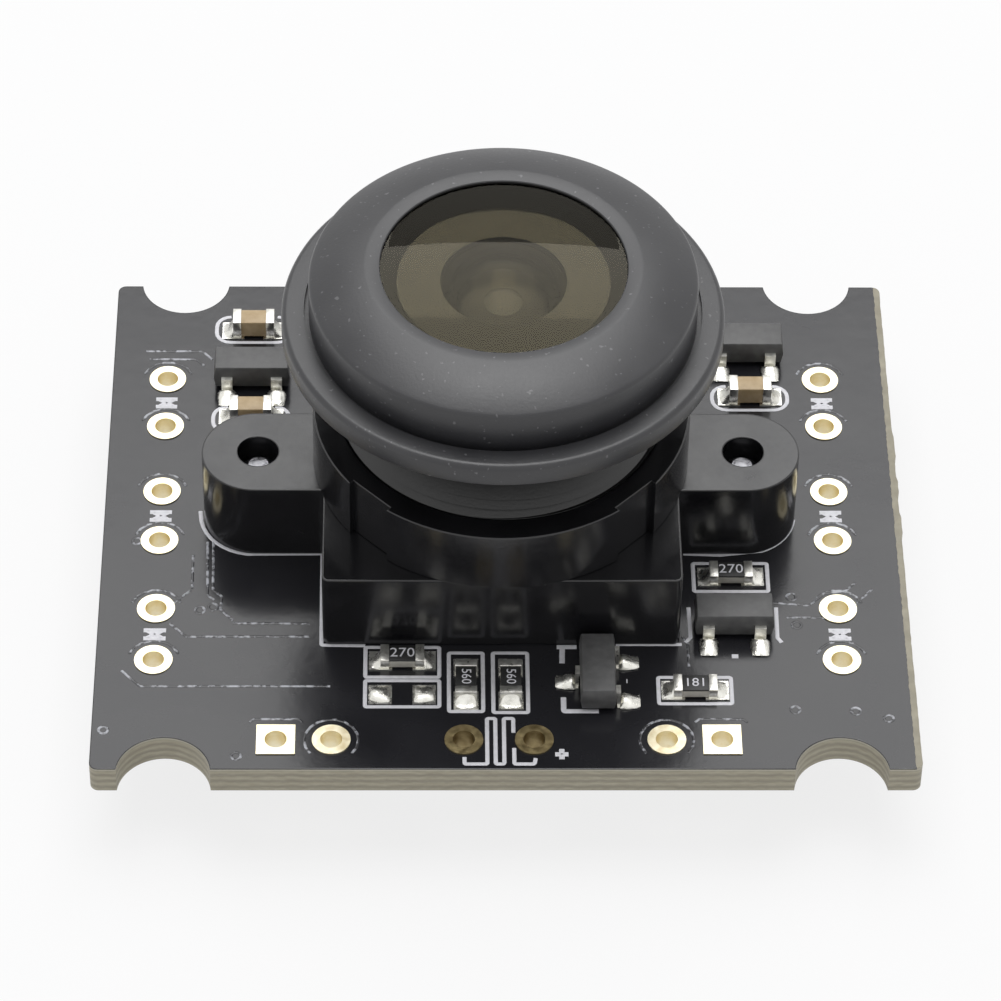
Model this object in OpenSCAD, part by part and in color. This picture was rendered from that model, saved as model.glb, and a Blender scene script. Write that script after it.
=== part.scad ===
// Camera module: a small circuit board that carries a screwed-on lens holder and an M12 lens.
// Millimetres. The origin is on the table under the middle of the board, Y runs to the back
// and the lens looks up along Z.

/* [Board] */
// Width of the board, left to right
board_w = 30; // [29.6:0.1:33]
// Depth of the board, front to back
board_d = 25; // [24.6:0.1:28]
// Thickness of the board
board_t = 1.2; // [0.8:0.1:1.6]
// Width of the bare strip that breaking out of the panel leaves on the right
bare_strip_w = 0.3; // [0:0.05:0.6]
// Thickness of the copper and solder on a pad
pad_t = 0.05; // [0.03:0.01:0.1]

/* [Screw notches] */
// Distance between the left and right notches
notch_gap = 24.4; // [23.6:0.1:25]
// Radius of each half-round notch
notch_r = 1.7; // [1.5:0.05:1.8]
// How far the middle of a notch lies outside the board's edge
notch_out = 0.2; // [0:0.05:0.6]

/* [Plated holes] */
// Diameter of a plated hole
hole_d = 0.8; // [0.6:0.05:0.9]
// Thickness of the plating in a hole
plate_t = 0.05; // [0.03:0.01:0.08]
// Diameter of the pad round a plated hole
ring_d = 1.4; // [1.2:0.05:1.6]
// Distance between the left and right columns of LED holes
led_columns_gap = 25.2; // [24.8:0.1:25.6]
// Distance between neighbouring LEDs in a column
led_gap = 6; // [5.5:0.1:6.5]
// Distance between the two leads of an LED or of the light sensor
lead_pitch = 2.54; // [2.3:0.02:2.7]
// Distance between two wire holes
wire_pitch = 2; // [1.8:0.1:2.2]
// Distance between the left and right pairs of wire holes
wire_pairs_gap = 14.1; // [13:0.1:15]
// Distance from the board's front edge to its row of holes
front_row_in = 1.37; // [1.1:0.01:1.8]
// How far the drilled holes sit left of the lens axis
drill_shift = 0.13; // [0:0.01:0.3]

/* [Lens holder] */
// Width of the square base
base_w = 13.1; // [12.6:0.1:13.4]
// Height of the base and of its ears
base_h = 3.45; // [3.2:0.05:3.8]
// Rounding of the base's upright edges
base_round = 0.25; // [0.1:0.05:0.5]
// Thickness of the base's walls round the sensor
base_wall = 1.2; // [0.8:0.1:1.6]
// Height of the space for the sensor under the barrel
chamber_h = 2.5; // [2.1:0.1:2.7]
// How far the thread runs down beside that space
thread_run_in = 0.3; // [0.2:0.1:0.5]
// Outside diameter of the threaded barrel
barrel_d = 13.9; // [13.5:0.1:14.3]
// Height of the holder from the board to the barrel's rim
holder_h = 6.1; // [5.6:0.1:7]
// Width of the reliefs on the barrel's diagonals
relief_w = 1.9; // [1:0.1:2.4]
// Depth of those reliefs
relief_depth = 0.27; // [0.1:0.01:0.4]
// Width of an ear
ear_w = 4; // [3.6:0.1:4.4]
// Distance from the lens axis to the end of an ear
ear_reach = 11.1; // [10.8:0.1:11.4]
// Distance between the two holder screws
screw_gap = 18; // [17.6:0.1:18.4]
// How far the lens axis lies behind the middle of the board
lens_back = 0.05; // [-0.3:0.05:0.3]

/* [Holder screws] */
// Diameter of the screw's shank in the ear
screw_d = 1.5; // [1.3:0.05:1.7]
// Diameter of the screw's head
screw_head_d = 3.2; // [2.8:0.1:3.6]
// Height of the screw's head
screw_head_h = 1.2; // [0.9:0.1:1.4]
// How far the screw's tip stays below the top of the ear
screw_tip_in = 0.7; // [0.3:0.1:1.2]
// Clearance of the shank in the board
screw_clear = 0.15; // [0.1:0.05:0.3]
// Width of the cross cut in the head
cross_w = 0.4; // [0.3:0.05:0.6]
// Depth of the cross cut in the head
cross_depth = 0.7; // [0.4:0.1:0.8]

/* [Lens barrel] */
// Outside diameter of the lens thread
thread_d = 12; // [11.6:0.1:12.2]
// Depth of the lens thread
thread_depth = 0.3; // [0.2:0.05:0.4]
// Radial clearance of the lens in the holder
thread_clear = 0.03; // [0.02:0.01:0.05]
// Height of the flange above the board when the lens is in focus
focus_h = 9.9; // [9.2:0.05:10.6]
// Length of the lens below the flange
neck_l = 7; // [6.6:0.1:7.2]
// Diameter of the flange
flange_d = 16; // [15.4:0.1:16.6]
// Thickness of the flange
flange_t = 0.9; // [0.6:0.1:1.4]
// Rounding of the flange's edges
flange_round = 0.22; // [0.1:0.02:0.28]
// Width and depth of the groove at the foot of the head
groove_w = 0.18; // [0.1:0.02:0.3]
// Diameter of the head
head_d = 14; // [13.5:0.1:14.4]
// Height of the head's lip above the flange
head_h = 2.25; // [2.1:0.05:2.6]
// Height of the head's straight wall
wall_h = 1.5; // [1.2:0.05:1.7]
// Rounding of the shoulder at the top of that wall
head_round = 0.2; // [0.1:0.02:0.4]
// Radius of the curve that rises from the shoulder to the lip
crown_curve_r = 6.4; // [5:0.2:12]
// Width of the front opening
front_d = 8.88; // [8.4:0.02:9.2]
// Height of the bevel round the front opening
bevel_h = 0.08; // [0.04:0.02:0.2]
// Width of the bevel round the front opening
bevel_w = 0.46; // [0.3:0.02:0.6]
// Thickness of the lip that holds the front element, below the bevel
lip_t = 0.12; // [0.08:0.02:0.2]

/* [Lens elements] */
// Gap round each piece that drops into the lens barrel
seat_gap = 0.03; // [0.02:0.01:0.05]
// Diameter of the seat of the front element
front_seat_d = 9.8; // [9.5:0.1:10.2]
// Thickness of the front element at its edge
front_edge_t = 1.35; // [1.2:0.05:1.5]
// Radius of the front element's outer surface
front_curve_r = 60; // [50:1:80]
// Radius of the front element's hollow
hollow_curve_r = 3; // [2.7:0.1:3.4]
// Width of the front element's hollow
hollow_d = 4.5; // [4.2:0.1:4.8]
// Diameter of the bore that holds the rest of the stack
stack_d = 7.6; // [7.2:0.1:8]
// Thickness of the spacer behind the front element
spacer_t = 1; // [0.8:0.1:1.2]
// Thickness of the second element at its edge
second_edge_t = 1.2; // [1:0.1:1.4]
// Radius of the second element's front surface
second_curve_r = 6; // [5:0.5:9]
// Width of the second element's domed part
second_dome_d = 4.4; // [3.8:0.1:4.4]
// Thickness of the aperture stop
stop_t = 0.2; // [0.1:0.05:0.3]
// Width of the aperture
stop_d = 1.8; // [1.4:0.1:2.2]
// Thickness of the pair of cemented elements, at the middle
pair_t = 2.7; // [2.4:0.1:2.9]
// Radius of the cemented surface
cement_curve_r = 6; // [5.6:0.1:8]
// Thickness of the third element at its edge
third_edge_t = 0.7; // [0.5:0.1:0.8]
// Inside width of the rear spacer
rear_spacer_in = 5.2; // [4.6:0.1:5.8]
// Inside width of the rear lip
rear_lip_in = 6; // [5:0.1:6.4]
// Thickness of the rear lip
rear_lip_t = 0.6; // [0.4:0.1:0.8]
// Length of the bore behind the rear lip
rear_bore_l = 1.85; // [1.5:0.05:2]
// Diameter of that bore
rear_bore_d = 7.8; // [7:0.1:8.2]
// Thickness of the infrared filter
filter_t = 0.3; // [0.2:0.05:0.5]

/* [Image sensor] */
// Width and depth of the sensor's package
sensor_w = 8; // [7:0.1:8.6]
// Height of the package
sensor_h = 0.9; // [0.7:0.05:1]
// Width of the package's rim round its window
sensor_rim = 0.7; // [0.5:0.1:1]
// Depth of the window's seat in the package
window_seat = 0.25; // [0.15:0.05:0.35]
// Thickness of the cover glass
window_t = 0.45; // [0.3:0.05:0.6]
// Width of the bare chip under the glass
die_w = 5; // [4:0.1:5.6]
// Depth and thickness of the bare chip's pocket
die_t = 0.2; // [0.15:0.05:0.3]

/* [Chip resistors and capacitors] */
// Length of a chip
chip_l = 1.6; // [1.5:0.05:1.7]
// Width of a chip
chip_w = 0.8; // [0.7:0.05:0.9]
// Height of a resistor
resistor_h = 0.45; // [0.35:0.05:0.55]
// Height of a capacitor
capacitor_h = 0.8; // [0.7:0.05:0.9]
// Length of a chip's metal end
chip_end = 0.32; // [0.2:0.02:0.4]
// Thickness of the metal on a chip's end
end_t = 0.03; // [0.02:0.01:0.05]
// Length of a chip's solder pad
chip_pad_l = 0.85; // [0.7:0.05:0.95]
// Distance from the holder's base to the front row of parts
row_gap = 0.42; // [0.3:0.02:0.6]
// Distance between the two rows of chips in front of the holder
row_pitch = 2.05; // [1.6:0.05:2.2]
// Distance from the holder's base to the parts on its right
side_gap = 0.56; // [0.3:0.02:1]

/* [Three-legged parts] */
// Length of the body
sot_l = 2.9; // [2.8:0.05:3]
// Width of the body
sot_w = 1.3; // [1.2:0.05:1.4]
// Height of the body
sot_h = 1; // [0.9:0.05:1.1]
// Distance between neighbouring legs
sot_pitch = 0.95; // [0.9:0.01:1]
// Distance across the legs
sot_span = 2.4; // [2.3:0.05:2.6]
// Width of a leg
sot_leg_w = 0.42; // [0.35:0.01:0.5]
// Thickness of a leg
leg_t = 0.13; // [0.1:0.01:0.16]
// Gap between a legged part's body and the board
standoff = 0.1; // [0.05:0.01:0.15]

/* [Chips on the underside] */
// Width of the video chip's body
video_w = 7; // [6.6:0.1:7.2]
// Height of the video chip's body
video_h = 1.4; // [1.2:0.1:1.5]
// Reach of the video chip's legs
video_leg = 1; // [0.9:0.05:1.1]
// Distance between the video chip's legs
video_pitch = 0.5; // [0.48:0.01:0.52]
// Width of one of its legs
video_leg_w = 0.22; // [0.18:0.01:0.26]
// Legs on each side of the video chip
video_legs = 12; // [8:2:12]
// Length of the memory chip's body
memory_l = 4.9; // [4.7:0.1:5.1]
// Width of the memory chip's body
memory_w = 3.9; // [3.7:0.1:4]
// Height of the memory chip's body
memory_h = 1.45; // [1.3:0.05:1.6]
// Reach of the memory chip's legs
memory_leg = 1.05; // [0.9:0.05:1.15]
// Distance between the memory chip's legs
memory_pitch = 1.27; // [1.2:0.01:1.3]
// Width of one of its legs
memory_leg_w = 0.42; // [0.35:0.01:0.5]
// Pin-one dimple on a chip, across
dimple_d = 0.6; // [0.4:0.1:0.8]

/* [Crystal] */
// Length of the crystal's can
crystal_l = 10.2; // [9.8:0.1:10.6]
// Width of the can
crystal_w = 3.8; // [3.6:0.1:4]
// Height of the crystal above its pads, base and can together
crystal_h = 3.35; // [3.2:0.05:3.6]
// Rounding of the can's top edge
crystal_round = 0.5; // [0.3:0.05:0.8]
// Width of the flange round the foot of the can
crystal_rim = 0.35; // [0.25:0.05:0.4]
// Thickness of that flange
crystal_rim_t = 0.4; // [0.3:0.05:0.5]
// Thickness of the moulded base
crystal_base_t = 0.7; // [0.6:0.05:0.9]
// Width of a lead
crystal_lead_w = 0.8; // [0.5:0.05:1]
// How far a lead reaches past the base
crystal_lead_out = 0.6; // [0.4:0.1:0.8]

/* [USB socket] */
// Contacts in the socket
socket_ways = 4; // [2:1:5]
// Distance between contacts
socket_pitch = 1.25; // [1.2:0.01:1.3]
// Housing on each side of the outer contacts
socket_side = 2.1; // [1.9:0.1:2.4]
// Height of the housing above its pads
socket_h = 3.35; // [3.2:0.05:3.6]
// Depth of the housing
socket_d = 4.6; // [4.4:0.1:5]
// Wall of the housing
socket_wall = 0.55; // [0.45:0.05:0.65]
// Depth of the housing's mouth
mouth_d = 3.4; // [3:0.1:3.6]
// Thickness of a contact
contact_t = 0.32; // [0.25:0.01:0.4]
// How far a contact stands into the mouth
contact_in = 2.6; // [2:0.1:2.8]
// Reach of a contact's foot in front of the housing
contact_foot = 0.7; // [0.5:0.1:0.9]
// Width of the anchor on each side
anchor_w = 0.8; // [0.6:0.1:0.9]
// Depth of an anchor
anchor_d = 2.2; // [1.8:0.1:2.4]
// Height of an anchor
anchor_h = 1.6; // [1.2:0.1:2]
// Thickness of the anchor's metal
anchor_t = 0.25; // [0.2:0.05:0.3]
// Distance from the board's back edge to the socket's mouth
socket_in = 0.2; // [0:0.05:0.5]

/* [Hidden] */
$fn = 96;
eps = 0.01;
// How far a cutter reaches past what it cuts
over = 1;

// Heights: the board lies on the tallest of the parts below it.
stand_h = max(crystal_h, socket_h) + pad_t;
top_z = stand_h + board_t;
mid_x = -bare_strip_w / 2;

// Lens, measured up from the board's face.
lens_bottom = focus_h - neck_l;
flange_top = focus_h + flange_t;
head_top = flange_top + head_h;
lip_r = front_d / 2 + bevel_w;
glass_top = head_top - bevel_h - lip_t;
front_seat = glass_top - front_edge_t;
spacer_seat = front_seat - spacer_t;
second_seat = spacer_seat - second_edge_t;
stop_seat = second_seat - stop_t;
pair_seat = stop_seat - pair_t;
rear_lip_low = lens_bottom + rear_bore_l;
rear_lip_top = rear_lip_low + rear_lip_t;

// The head's crown: a curve through the top of the wall and the lip.
crown_chord = [head_d / 2 - lip_r, wall_h - head_h];
crown_half = norm(crown_chord) / 2;
crown_drop = sqrt(crown_curve_r * crown_curve_r - crown_half * crown_half) / crown_half / 2;
crown_at = [lip_r, head_top] + crown_chord / 2
    + crown_drop * [crown_chord.y, -crown_chord.x];

// Middle of the shoulder's rounding, which touches the wall and the crown, and the radius
// at which the crown begins.
shoulder_r = head_d / 2 - head_round - crown_at.x;
shoulder_at = crown_at + [shoulder_r, sphere_rise(crown_curve_r - head_round, shoulder_r)];
crown_r = crown_at.x + shoulder_r * crown_curve_r / (crown_curve_r - head_round);

// Rows of small parts on the face, measured from the lens axis.
chip_rise = pad_t;
row_y = -base_w / 2 - row_gap;
front_row_y = -board_d / 2 + front_row_in;
upright_y = (front_row_y + ring_d / 2 - lens_back - base_w / 2) / 2;
left_x = -9.47;
right_x = 9.6;
beside_x = base_w / 2 + side_gap + sot_l / 2;
resistor_left_at = [-3.63, row_y - chip_w / 2];
resistor_right_at = [beside_x, -3.18];
resistor_front_at = [7.03, -8.82];
resistor_upright_1_at = [-1.31, upright_y];
resistor_upright_2_at = [0.32, upright_y];
empty_pads_at = [-3.63, row_y - row_pitch];
capacitor_back_at = [left_x, 9.9];
capacitor_left_at = [left_x, 5.15];
capacitor_right_at = [right_x + 0.1, 6.27];
sot_left_at = [left_x, 7.3];
sot_right_at = [right_x, 8.65];
sot_upright_at = [3.48, row_y - sot_l / 2];
sot_front_at = [beside_x, -5.6];

// Underside parts, measured from the lens axis.
crystal_at = [0, -7.1];
video_at = [0, 0.4];
memory_at = [-8.3, 5.1];
regulator_at = [8.2, 8.2];
under_capacitor_spots = [[6.4, 3.6], [6.4, 5.4], [9, 4.6], [-7.9, -4], [-7.9, -5.7]];
under_resistor_spots = [[7.9, -4], [7.9, -5.7], [7.9, -7.4], [-7.9, -7.4]];

// Places ------------------------------------------------------------------------------

// The board's face, at the lens axis.
module on_face() translate([mid_x, lens_back, top_z]) children();

// The board's underside, at the lens axis, with Z growing downwards.
module on_underside() translate([mid_x, lens_back, stand_h]) mirror([0, 0, 1]) children();

// Board outline and holes ----------------------------------------------------------------

function led_spots() = [for (side = [-1, 1], led = [-1, 0, 1], lead = [-1, 1])
    [side * led_columns_gap / 2 - drill_shift, led * led_gap + lead * lead_pitch / 2]];

function wire_spots(lead) = [for (side = [-1, 1])
    [side * (wire_pairs_gap + lead * wire_pitch) / 2 - drill_shift, front_row_y]];

function light_sensor_spots() = [for (lead = [-1, 1])
    [lead * lead_pitch / 2 - drill_shift, front_row_y]];

function all_holes() = concat(led_spots(), wire_spots(-1), wire_spots(1), light_sensor_spots());

module notches() {
    for (side = [-1, 1], edge = [-1, 1])
        translate([mid_x + side * notch_gap / 2, edge * (board_d / 2 + notch_out)])
            circle(notch_r);
}

module circuit_board() {
    color([0.16, 0.16, 0.18])
    translate([0, 0, stand_h])
    linear_extrude(board_t)
    difference() {
        square([board_w, board_d], center = true);
        notches();
        for (spot = all_holes())
            translate([mid_x + spot.x, spot.y]) circle(hole_d / 2 + plate_t, $fn = 48);
        for (side = [-1, 1])
            translate([mid_x + side * screw_gap / 2, lens_back])
                circle(screw_d / 2 + screw_clear, $fn = 48);
    }
}

// A plated hole: a ring on each face, joined by a tube.
module plated_hole(square_ring = false) {
    $fn = 48;
    difference() {
        union() {
            translate([0, 0, -pad_t])
                cylinder(r = hole_d / 2 + plate_t, h = board_t + 2 * pad_t);
            for (z = [-pad_t, board_t]) translate([0, 0, z])
                if (square_ring) translate([-ring_d / 2, -ring_d / 2, 0])
                    cube([ring_d, ring_d, pad_t]);
                else cylinder(d = ring_d, h = pad_t);
        }
        translate([0, 0, -pad_t - eps]) cylinder(d = hole_d, h = board_t + 2 * pad_t + 2 * eps);
    }
}

module at_holes(spots) {
    for (spot = spots) translate([mid_x + spot.x, spot.y, stand_h]) children();
}

module led_holes() color([0.95, 0.9, 0.75]) at_holes(led_spots()) plated_hole();

module wire_holes() {
    color([0.95, 0.9, 0.75]) {
        at_holes(wire_spots(-1)) plated_hole();
        at_holes(wire_spots(1)) plated_hole(square_ring = true);
    }
}

module light_sensor_holes() {
    color([0.62, 0.5, 0.3]) at_holes(light_sensor_spots()) plated_hole();
}

// Pads -----------------------------------------------------------------------------------

module pad(w, d) translate([-w / 2, -d / 2, 0]) cube([w, d, pad_t]);

chip_pad_x = chip_l / 2;

module chip_pads() for (side = [-1, 1]) translate([side * chip_pad_x, 0]) pad(chip_pad_l, chip_w + 0.1);

sot_pad_l = 0.8;
sot_pad_w = 0.6;
// How far a pad shows past the end and the side of a foot
pad_end = 0.3;
pad_side = 0.2;
sot_foot_y = sot_span / 2 - 0.1;

module sot_pads() {
    for (side = [-1, 1]) translate([side * sot_pitch, -sot_foot_y]) pad(sot_pad_w, sot_pad_l);
    translate([0, sot_foot_y]) pad(sot_pad_w, sot_pad_l);
}

module face_pads() {
    color([0.8, 0.8, 0.78]) on_face() {
        for (spot = [resistor_left_at, resistor_right_at, resistor_front_at, empty_pads_at,
                capacitor_back_at, capacitor_left_at, capacitor_right_at])
            translate(spot) chip_pads();
        for (spot = [resistor_upright_1_at, resistor_upright_2_at])
            translate(spot) rotate(90) chip_pads();
        for (spot = [sot_left_at, sot_right_at, sot_front_at]) translate(spot) sot_pads();
        translate(sot_upright_at) rotate(90) sot_pads();
    }
}

module underside_pads() {
    color([0.8, 0.8, 0.78]) on_underside() {
        for (spot = under_chip_spots()) translate(spot) chip_pads();
        translate(regulator_at) sot_pads();
        for (turn = [0, 90, 180, 270])
            translate(video_at) rotate(turn)
                leg_pads(video_legs, video_pitch, video_w / 2 + video_leg, video_leg_w + 0.06);
        for (turn = [90, 270])
            translate(memory_at) rotate(turn)
                leg_pads(memory_legs, memory_pitch, memory_w / 2 + memory_leg, memory_leg_w + 0.16);
        for (side = [-1, 1]) translate(crystal_at)
            translate([side * (crystal_base_l / 2), 0])
                pad(2 * (crystal_lead_out + pad_end), crystal_lead_w + 2 * pad_side);
    }
    color([0.8, 0.8, 0.78]) at_socket() {
        for (way = [0 : socket_ways - 1])
            translate([way_x(way), -socket_d - contact_t - contact_foot / 2])
                pad(contact_t + pad_side, contact_foot + contact_t + pad_end);
        for (side = [-1, 1])
            translate([side * (socket_w + anchor_w) / 2, -anchor_mid])
                pad(anchor_w, anchor_d + pad_end);
    }
}

// A row of pads along the front side of a chip whose legs end at the given distance.
module leg_pads(count, pitch, reach, w) {
    for (leg = [0 : count - 1])
        translate([(leg - (count - 1) / 2) * pitch, -reach + foot_l / 2]) pad(w, foot_l + 0.3);
}

// Lens holder ------------------------------------------------------------------------------

// A square plate whose upright edges are rounded.
module rounded_square(w, r) {
    square([w, w - 2 * r], center = true);
    square([w - 2 * r, w], center = true);
    for (x = [-1, 1], y = [-1, 1]) translate([x, y] * (w / 2 - r)) circle(r, $fn = 32);
}

module ears() {
    for (side = [0, 180]) rotate(side) {
        translate([0, -ear_w / 2]) square([ear_reach - ear_w / 2, ear_w]);
        translate([ear_reach - ear_w / 2, 0]) circle(d = ear_w);
    }
}

// The barrel's outline, with an upright relief on each diagonal.
module relieved_barrel() {
    difference() {
        circle(d = barrel_d);
        for (turn = [45 : 90 : 315]) rotate(turn)
            translate([barrel_d / 2 - relief_depth, -relief_w / 2])
                square([barrel_d, relief_w]);
    }
}

module lens_holder() {
    color([0.1, 0.1, 0.11])
    on_face()
    difference() {
        union() {
            linear_extrude(base_h) {
                rounded_square(base_w, base_round);
                ears();
            }
            translate([0, 0, base_h]) linear_extrude(holder_h - base_h)
                relieved_barrel();
        }
        translate([0, 0, -eps]) linear_extrude(chamber_h + eps)
            square(base_w - 2 * base_wall, center = true);
        translate([0, 0, chamber_h - thread_run_in]) cylinder(d = thread_d, h = holder_h);
        for (side = [-1, 1]) translate([side * screw_gap / 2, 0, -eps])
            cylinder(d = screw_d, h = base_h + 2 * eps, $fn = 48);
    }
}

// A self-tapping screw, driven from below, with its head against the board.
module holder_screw() {
    shank_l = board_t + base_h - screw_tip_in;
    point_l = screw_d / 4;
    edge = screw_head_h / 2;
    $fn = 48;
    difference() {
        rotate_extrude() {
            square([screw_head_d / 2, screw_head_h - edge]);
            square([screw_head_d / 2 - edge, screw_head_h]);
            translate([screw_head_d / 2 - edge, screw_head_h - edge]) circle(edge);
            translate([0, -shank_l + point_l]) square([screw_d / 2, shank_l - point_l + eps]);
        }
        for (turn = [0, 90]) rotate(turn)
            translate([-screw_head_d / 3, -cross_w / 2, screw_head_h - cross_depth])
                cube([screw_head_d * 2 / 3, cross_w, screw_head_h]);
    }
    translate([0, 0, -shank_l]) cylinder(d1 = screw_d / 2, d2 = screw_d, h = point_l);
}

module holder_screws() {
    color([0.35, 0.35, 0.36]) on_underside()
    for (side = [-1, 1]) translate([side * screw_gap / 2, 0]) holder_screw();
}

// Lens barrel -----------------------------------------------------------------------------

// A band of a turned profile, from one height to another.
module band(r, low, high) translate([0, low]) square([r, high - low]);

// A band whose upper outer edge is rounded.
module rounded_band(r, low, high, edge) {
    band(r, low, high - edge);
    band(r - edge, low, high);
    translate([r - edge, high - edge]) circle(edge);
}

module barrel_outline() {
    band(thread_d / 2 - thread_clear, lens_bottom, holder_h);
    band(thread_d / 2 - thread_depth, lens_bottom, focus_h + eps);
    rounded_band(flange_d / 2, focus_h, flange_top, flange_round);
    band(head_d / 2, flange_top - eps, shoulder_at.y);
    translate(shoulder_at) circle(head_round);
    intersection() {
        translate(crown_at) circle(crown_curve_r, $fn = 360);
        band(crown_r, flange_top - eps, head_top + over);
    }
}

module barrel_bores() {
    band(front_d / 2, glass_top, head_top);
    polygon([[0, head_top - bevel_h], [front_d / 2, head_top - bevel_h],
        [lip_r, head_top], [lip_r, head_top + over], [0, head_top + over]]);
    band(front_seat_d / 2, front_seat, glass_top);
    band(stack_d / 2, rear_lip_top, front_seat + eps);
    band(rear_lip_in / 2, rear_lip_low - eps, rear_lip_top + eps);
    band(rear_bore_d / 2, lens_bottom - eps, rear_lip_low);
    translate([head_d / 2, flange_top - groove_w]) square([groove_w, groove_w + eps]);
}

module lens_barrel() {
    color([0.34, 0.34, 0.37]) on_face()
    rotate_extrude() difference() {
        barrel_outline();
        barrel_bores();
    }
}

// Lens elements --------------------------------------------------------------------------

front_r = front_seat_d / 2 - seat_gap;
stack_r = stack_d / 2 - seat_gap;

// Height of a sphere's middle above or below a circle of the given radius on it.
function sphere_rise(curve_r, r) = sqrt(curve_r * curve_r - r * r);

// The part of a disc that lies to the right of the axis.
module half_disc(r, z) {
    intersection() {
        translate([0, z]) circle(r, $fn = 360);
        translate([0, z - r]) square([r, 2 * r]);
    }
}

module front_element() {
    cap_r = front_d / 2 - seat_gap;
    color([0.2, 0.2, 0.14]) on_face()
    rotate_extrude() difference() {
        union() {
            band(front_r, front_seat, glass_top);
            intersection() {
                half_disc(front_curve_r, glass_top - sphere_rise(front_curve_r, cap_r));
                band(cap_r, glass_top - eps, head_top + over);
            }
        }
        half_disc(hollow_curve_r, front_seat - sphere_rise(hollow_curve_r, hollow_d / 2));
    }
}

// A turned ring with a plain bore.
module turned_ring(outer_r, inner_r, low, high) {
    rotate_extrude() translate([inner_r, low]) square([outer_r - inner_r, high - low]);
}

module front_spacer() {
    color([0.08, 0.08, 0.08]) on_face()
        turned_ring(stack_r, hollow_d / 2, spacer_seat, front_seat);
}

module second_element() {
    color([0.5, 0.52, 0.5]) on_face()
    rotate_extrude() {
        band(stack_r, second_seat, spacer_seat);
        intersection() {
            half_disc(second_curve_r, spacer_seat - sphere_rise(second_curve_r, second_dome_d / 2));
            band(second_dome_d / 2, spacer_seat - eps, front_seat);
        }
    }
}

module aperture_stop() {
    color([0.06, 0.06, 0.06]) on_face() turned_ring(stack_r, stop_d / 2, stop_seat, second_seat);
}

// The rear surface of the third element, which the fourth is cemented to.
module cement_disc() {
    half_disc(cement_curve_r, stop_seat - third_edge_t + sphere_rise(cement_curve_r, stack_r));
}

module third_element() {
    color([0.55, 0.57, 0.55]) on_face()
    rotate_extrude() intersection() {
        band(stack_r, pair_seat, stop_seat);
        union() {
            band(stack_r, stop_seat - third_edge_t, stop_seat);
            intersection() {
                cement_disc();
                band(stack_r, pair_seat, stop_seat - third_edge_t + eps);
            }
        }
    }
}

module fourth_element() {
    color([0.5, 0.5, 0.45]) on_face()
    rotate_extrude() difference() {
        band(stack_r, pair_seat, stop_seat - third_edge_t);
        cement_disc();
    }
}

module rear_spacer() {
    color([0.08, 0.08, 0.08]) on_face()
        turned_ring(stack_r, rear_spacer_in / 2, rear_lip_top, pair_seat);
}

module infrared_filter() {
    color([0.35, 0.6, 0.65]) on_face()
    translate([0, 0, rear_lip_low - filter_t])
        cylinder(r = rear_bore_d / 2 - seat_gap, h = filter_t);
}

// Image sensor ----------------------------------------------------------------------------

window_w = sensor_w - 2 * sensor_rim;

module sensor_block(w, low, h) translate([-w / 2, -w / 2, low]) cube([w, w, h]);

module image_sensor() {
    color([0.2, 0.2, 0.2]) on_face()
    difference() {
        sensor_block(sensor_w, 0, sensor_h);
        sensor_block(window_w, sensor_h - window_seat, sensor_h);
        sensor_block(die_w, sensor_h - window_seat - die_t, sensor_h);
    }
}

module sensor_chip() {
    color([0.25, 0.35, 0.3]) on_face()
        sensor_block(die_w, sensor_h - window_seat - die_t, die_t - eps);
}

module sensor_window() {
    color([0.6, 0.7, 0.7]) on_face() sensor_block(window_w, sensor_h - window_seat, window_t);
}

// Chip resistors and capacitors -------------------------------------------------------------

module chip_block(l, w, low, h) translate([-l / 2, -w / 2, low]) cube([l, w, h]);

// The ceramic block, which the metal ends wrap.
module chip_body(h) {
    chip_block(chip_l - 2 * end_t, chip_w - 2 * end_t, chip_rise + end_t, h - 2 * end_t);
}

module chip_ends(h) {
    difference() {
        chip_block(chip_l, chip_w, chip_rise, h);
        chip_body(h);
        chip_block(chip_l - 2 * chip_end, chip_w + over, chip_rise - over, h + 2 * over);
    }
}

module resistor_body(spot, turn = 0) {
    color([0.12, 0.12, 0.13]) on_face() translate(spot) rotate(turn) chip_body(resistor_h);
}

module resistor_left() resistor_body(resistor_left_at);
module resistor_right() resistor_body(resistor_right_at);
module resistor_front() resistor_body(resistor_front_at);
module resistor_upright_1() resistor_body(resistor_upright_1_at, 90);
module resistor_upright_2() resistor_body(resistor_upright_2_at, 90);

module resistor_ends() {
    color([0.85, 0.84, 0.78]) on_face() {
        for (spot = [resistor_left_at, resistor_right_at, resistor_front_at])
            translate(spot) chip_ends(resistor_h);
        for (spot = [resistor_upright_1_at, resistor_upright_2_at])
            translate(spot) rotate(90) chip_ends(resistor_h);
    }
}

module capacitor_body(spot) {
    color([0.78, 0.66, 0.5]) on_face() translate(spot) chip_body(capacitor_h);
}

module capacitor_back() capacitor_body(capacitor_back_at);
module capacitor_left() capacitor_body(capacitor_left_at);
module capacitor_right() capacitor_body(capacitor_right_at);

module capacitor_ends() {
    color([0.9, 0.88, 0.78]) on_face()
    for (spot = [capacitor_back_at, capacitor_left_at, capacitor_right_at])
        translate(spot) chip_ends(capacitor_h);
}

// Moulded bodies with legs ---------------------------------------------------------------

// Half of the slope of a moulded body's sides.
draft = 0.06;

module drafted_side(w, h) {
    polygon([[-w / 2 + draft, 0], [w / 2 - draft, 0], [w / 2, (h - leg_t) / 2],
        [w / 2, (h + leg_t) / 2], [w / 2 - draft, h], [-w / 2 + draft, h],
        [-w / 2, (h + leg_t) / 2], [-w / 2, (h - leg_t) / 2]]);
}

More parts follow.
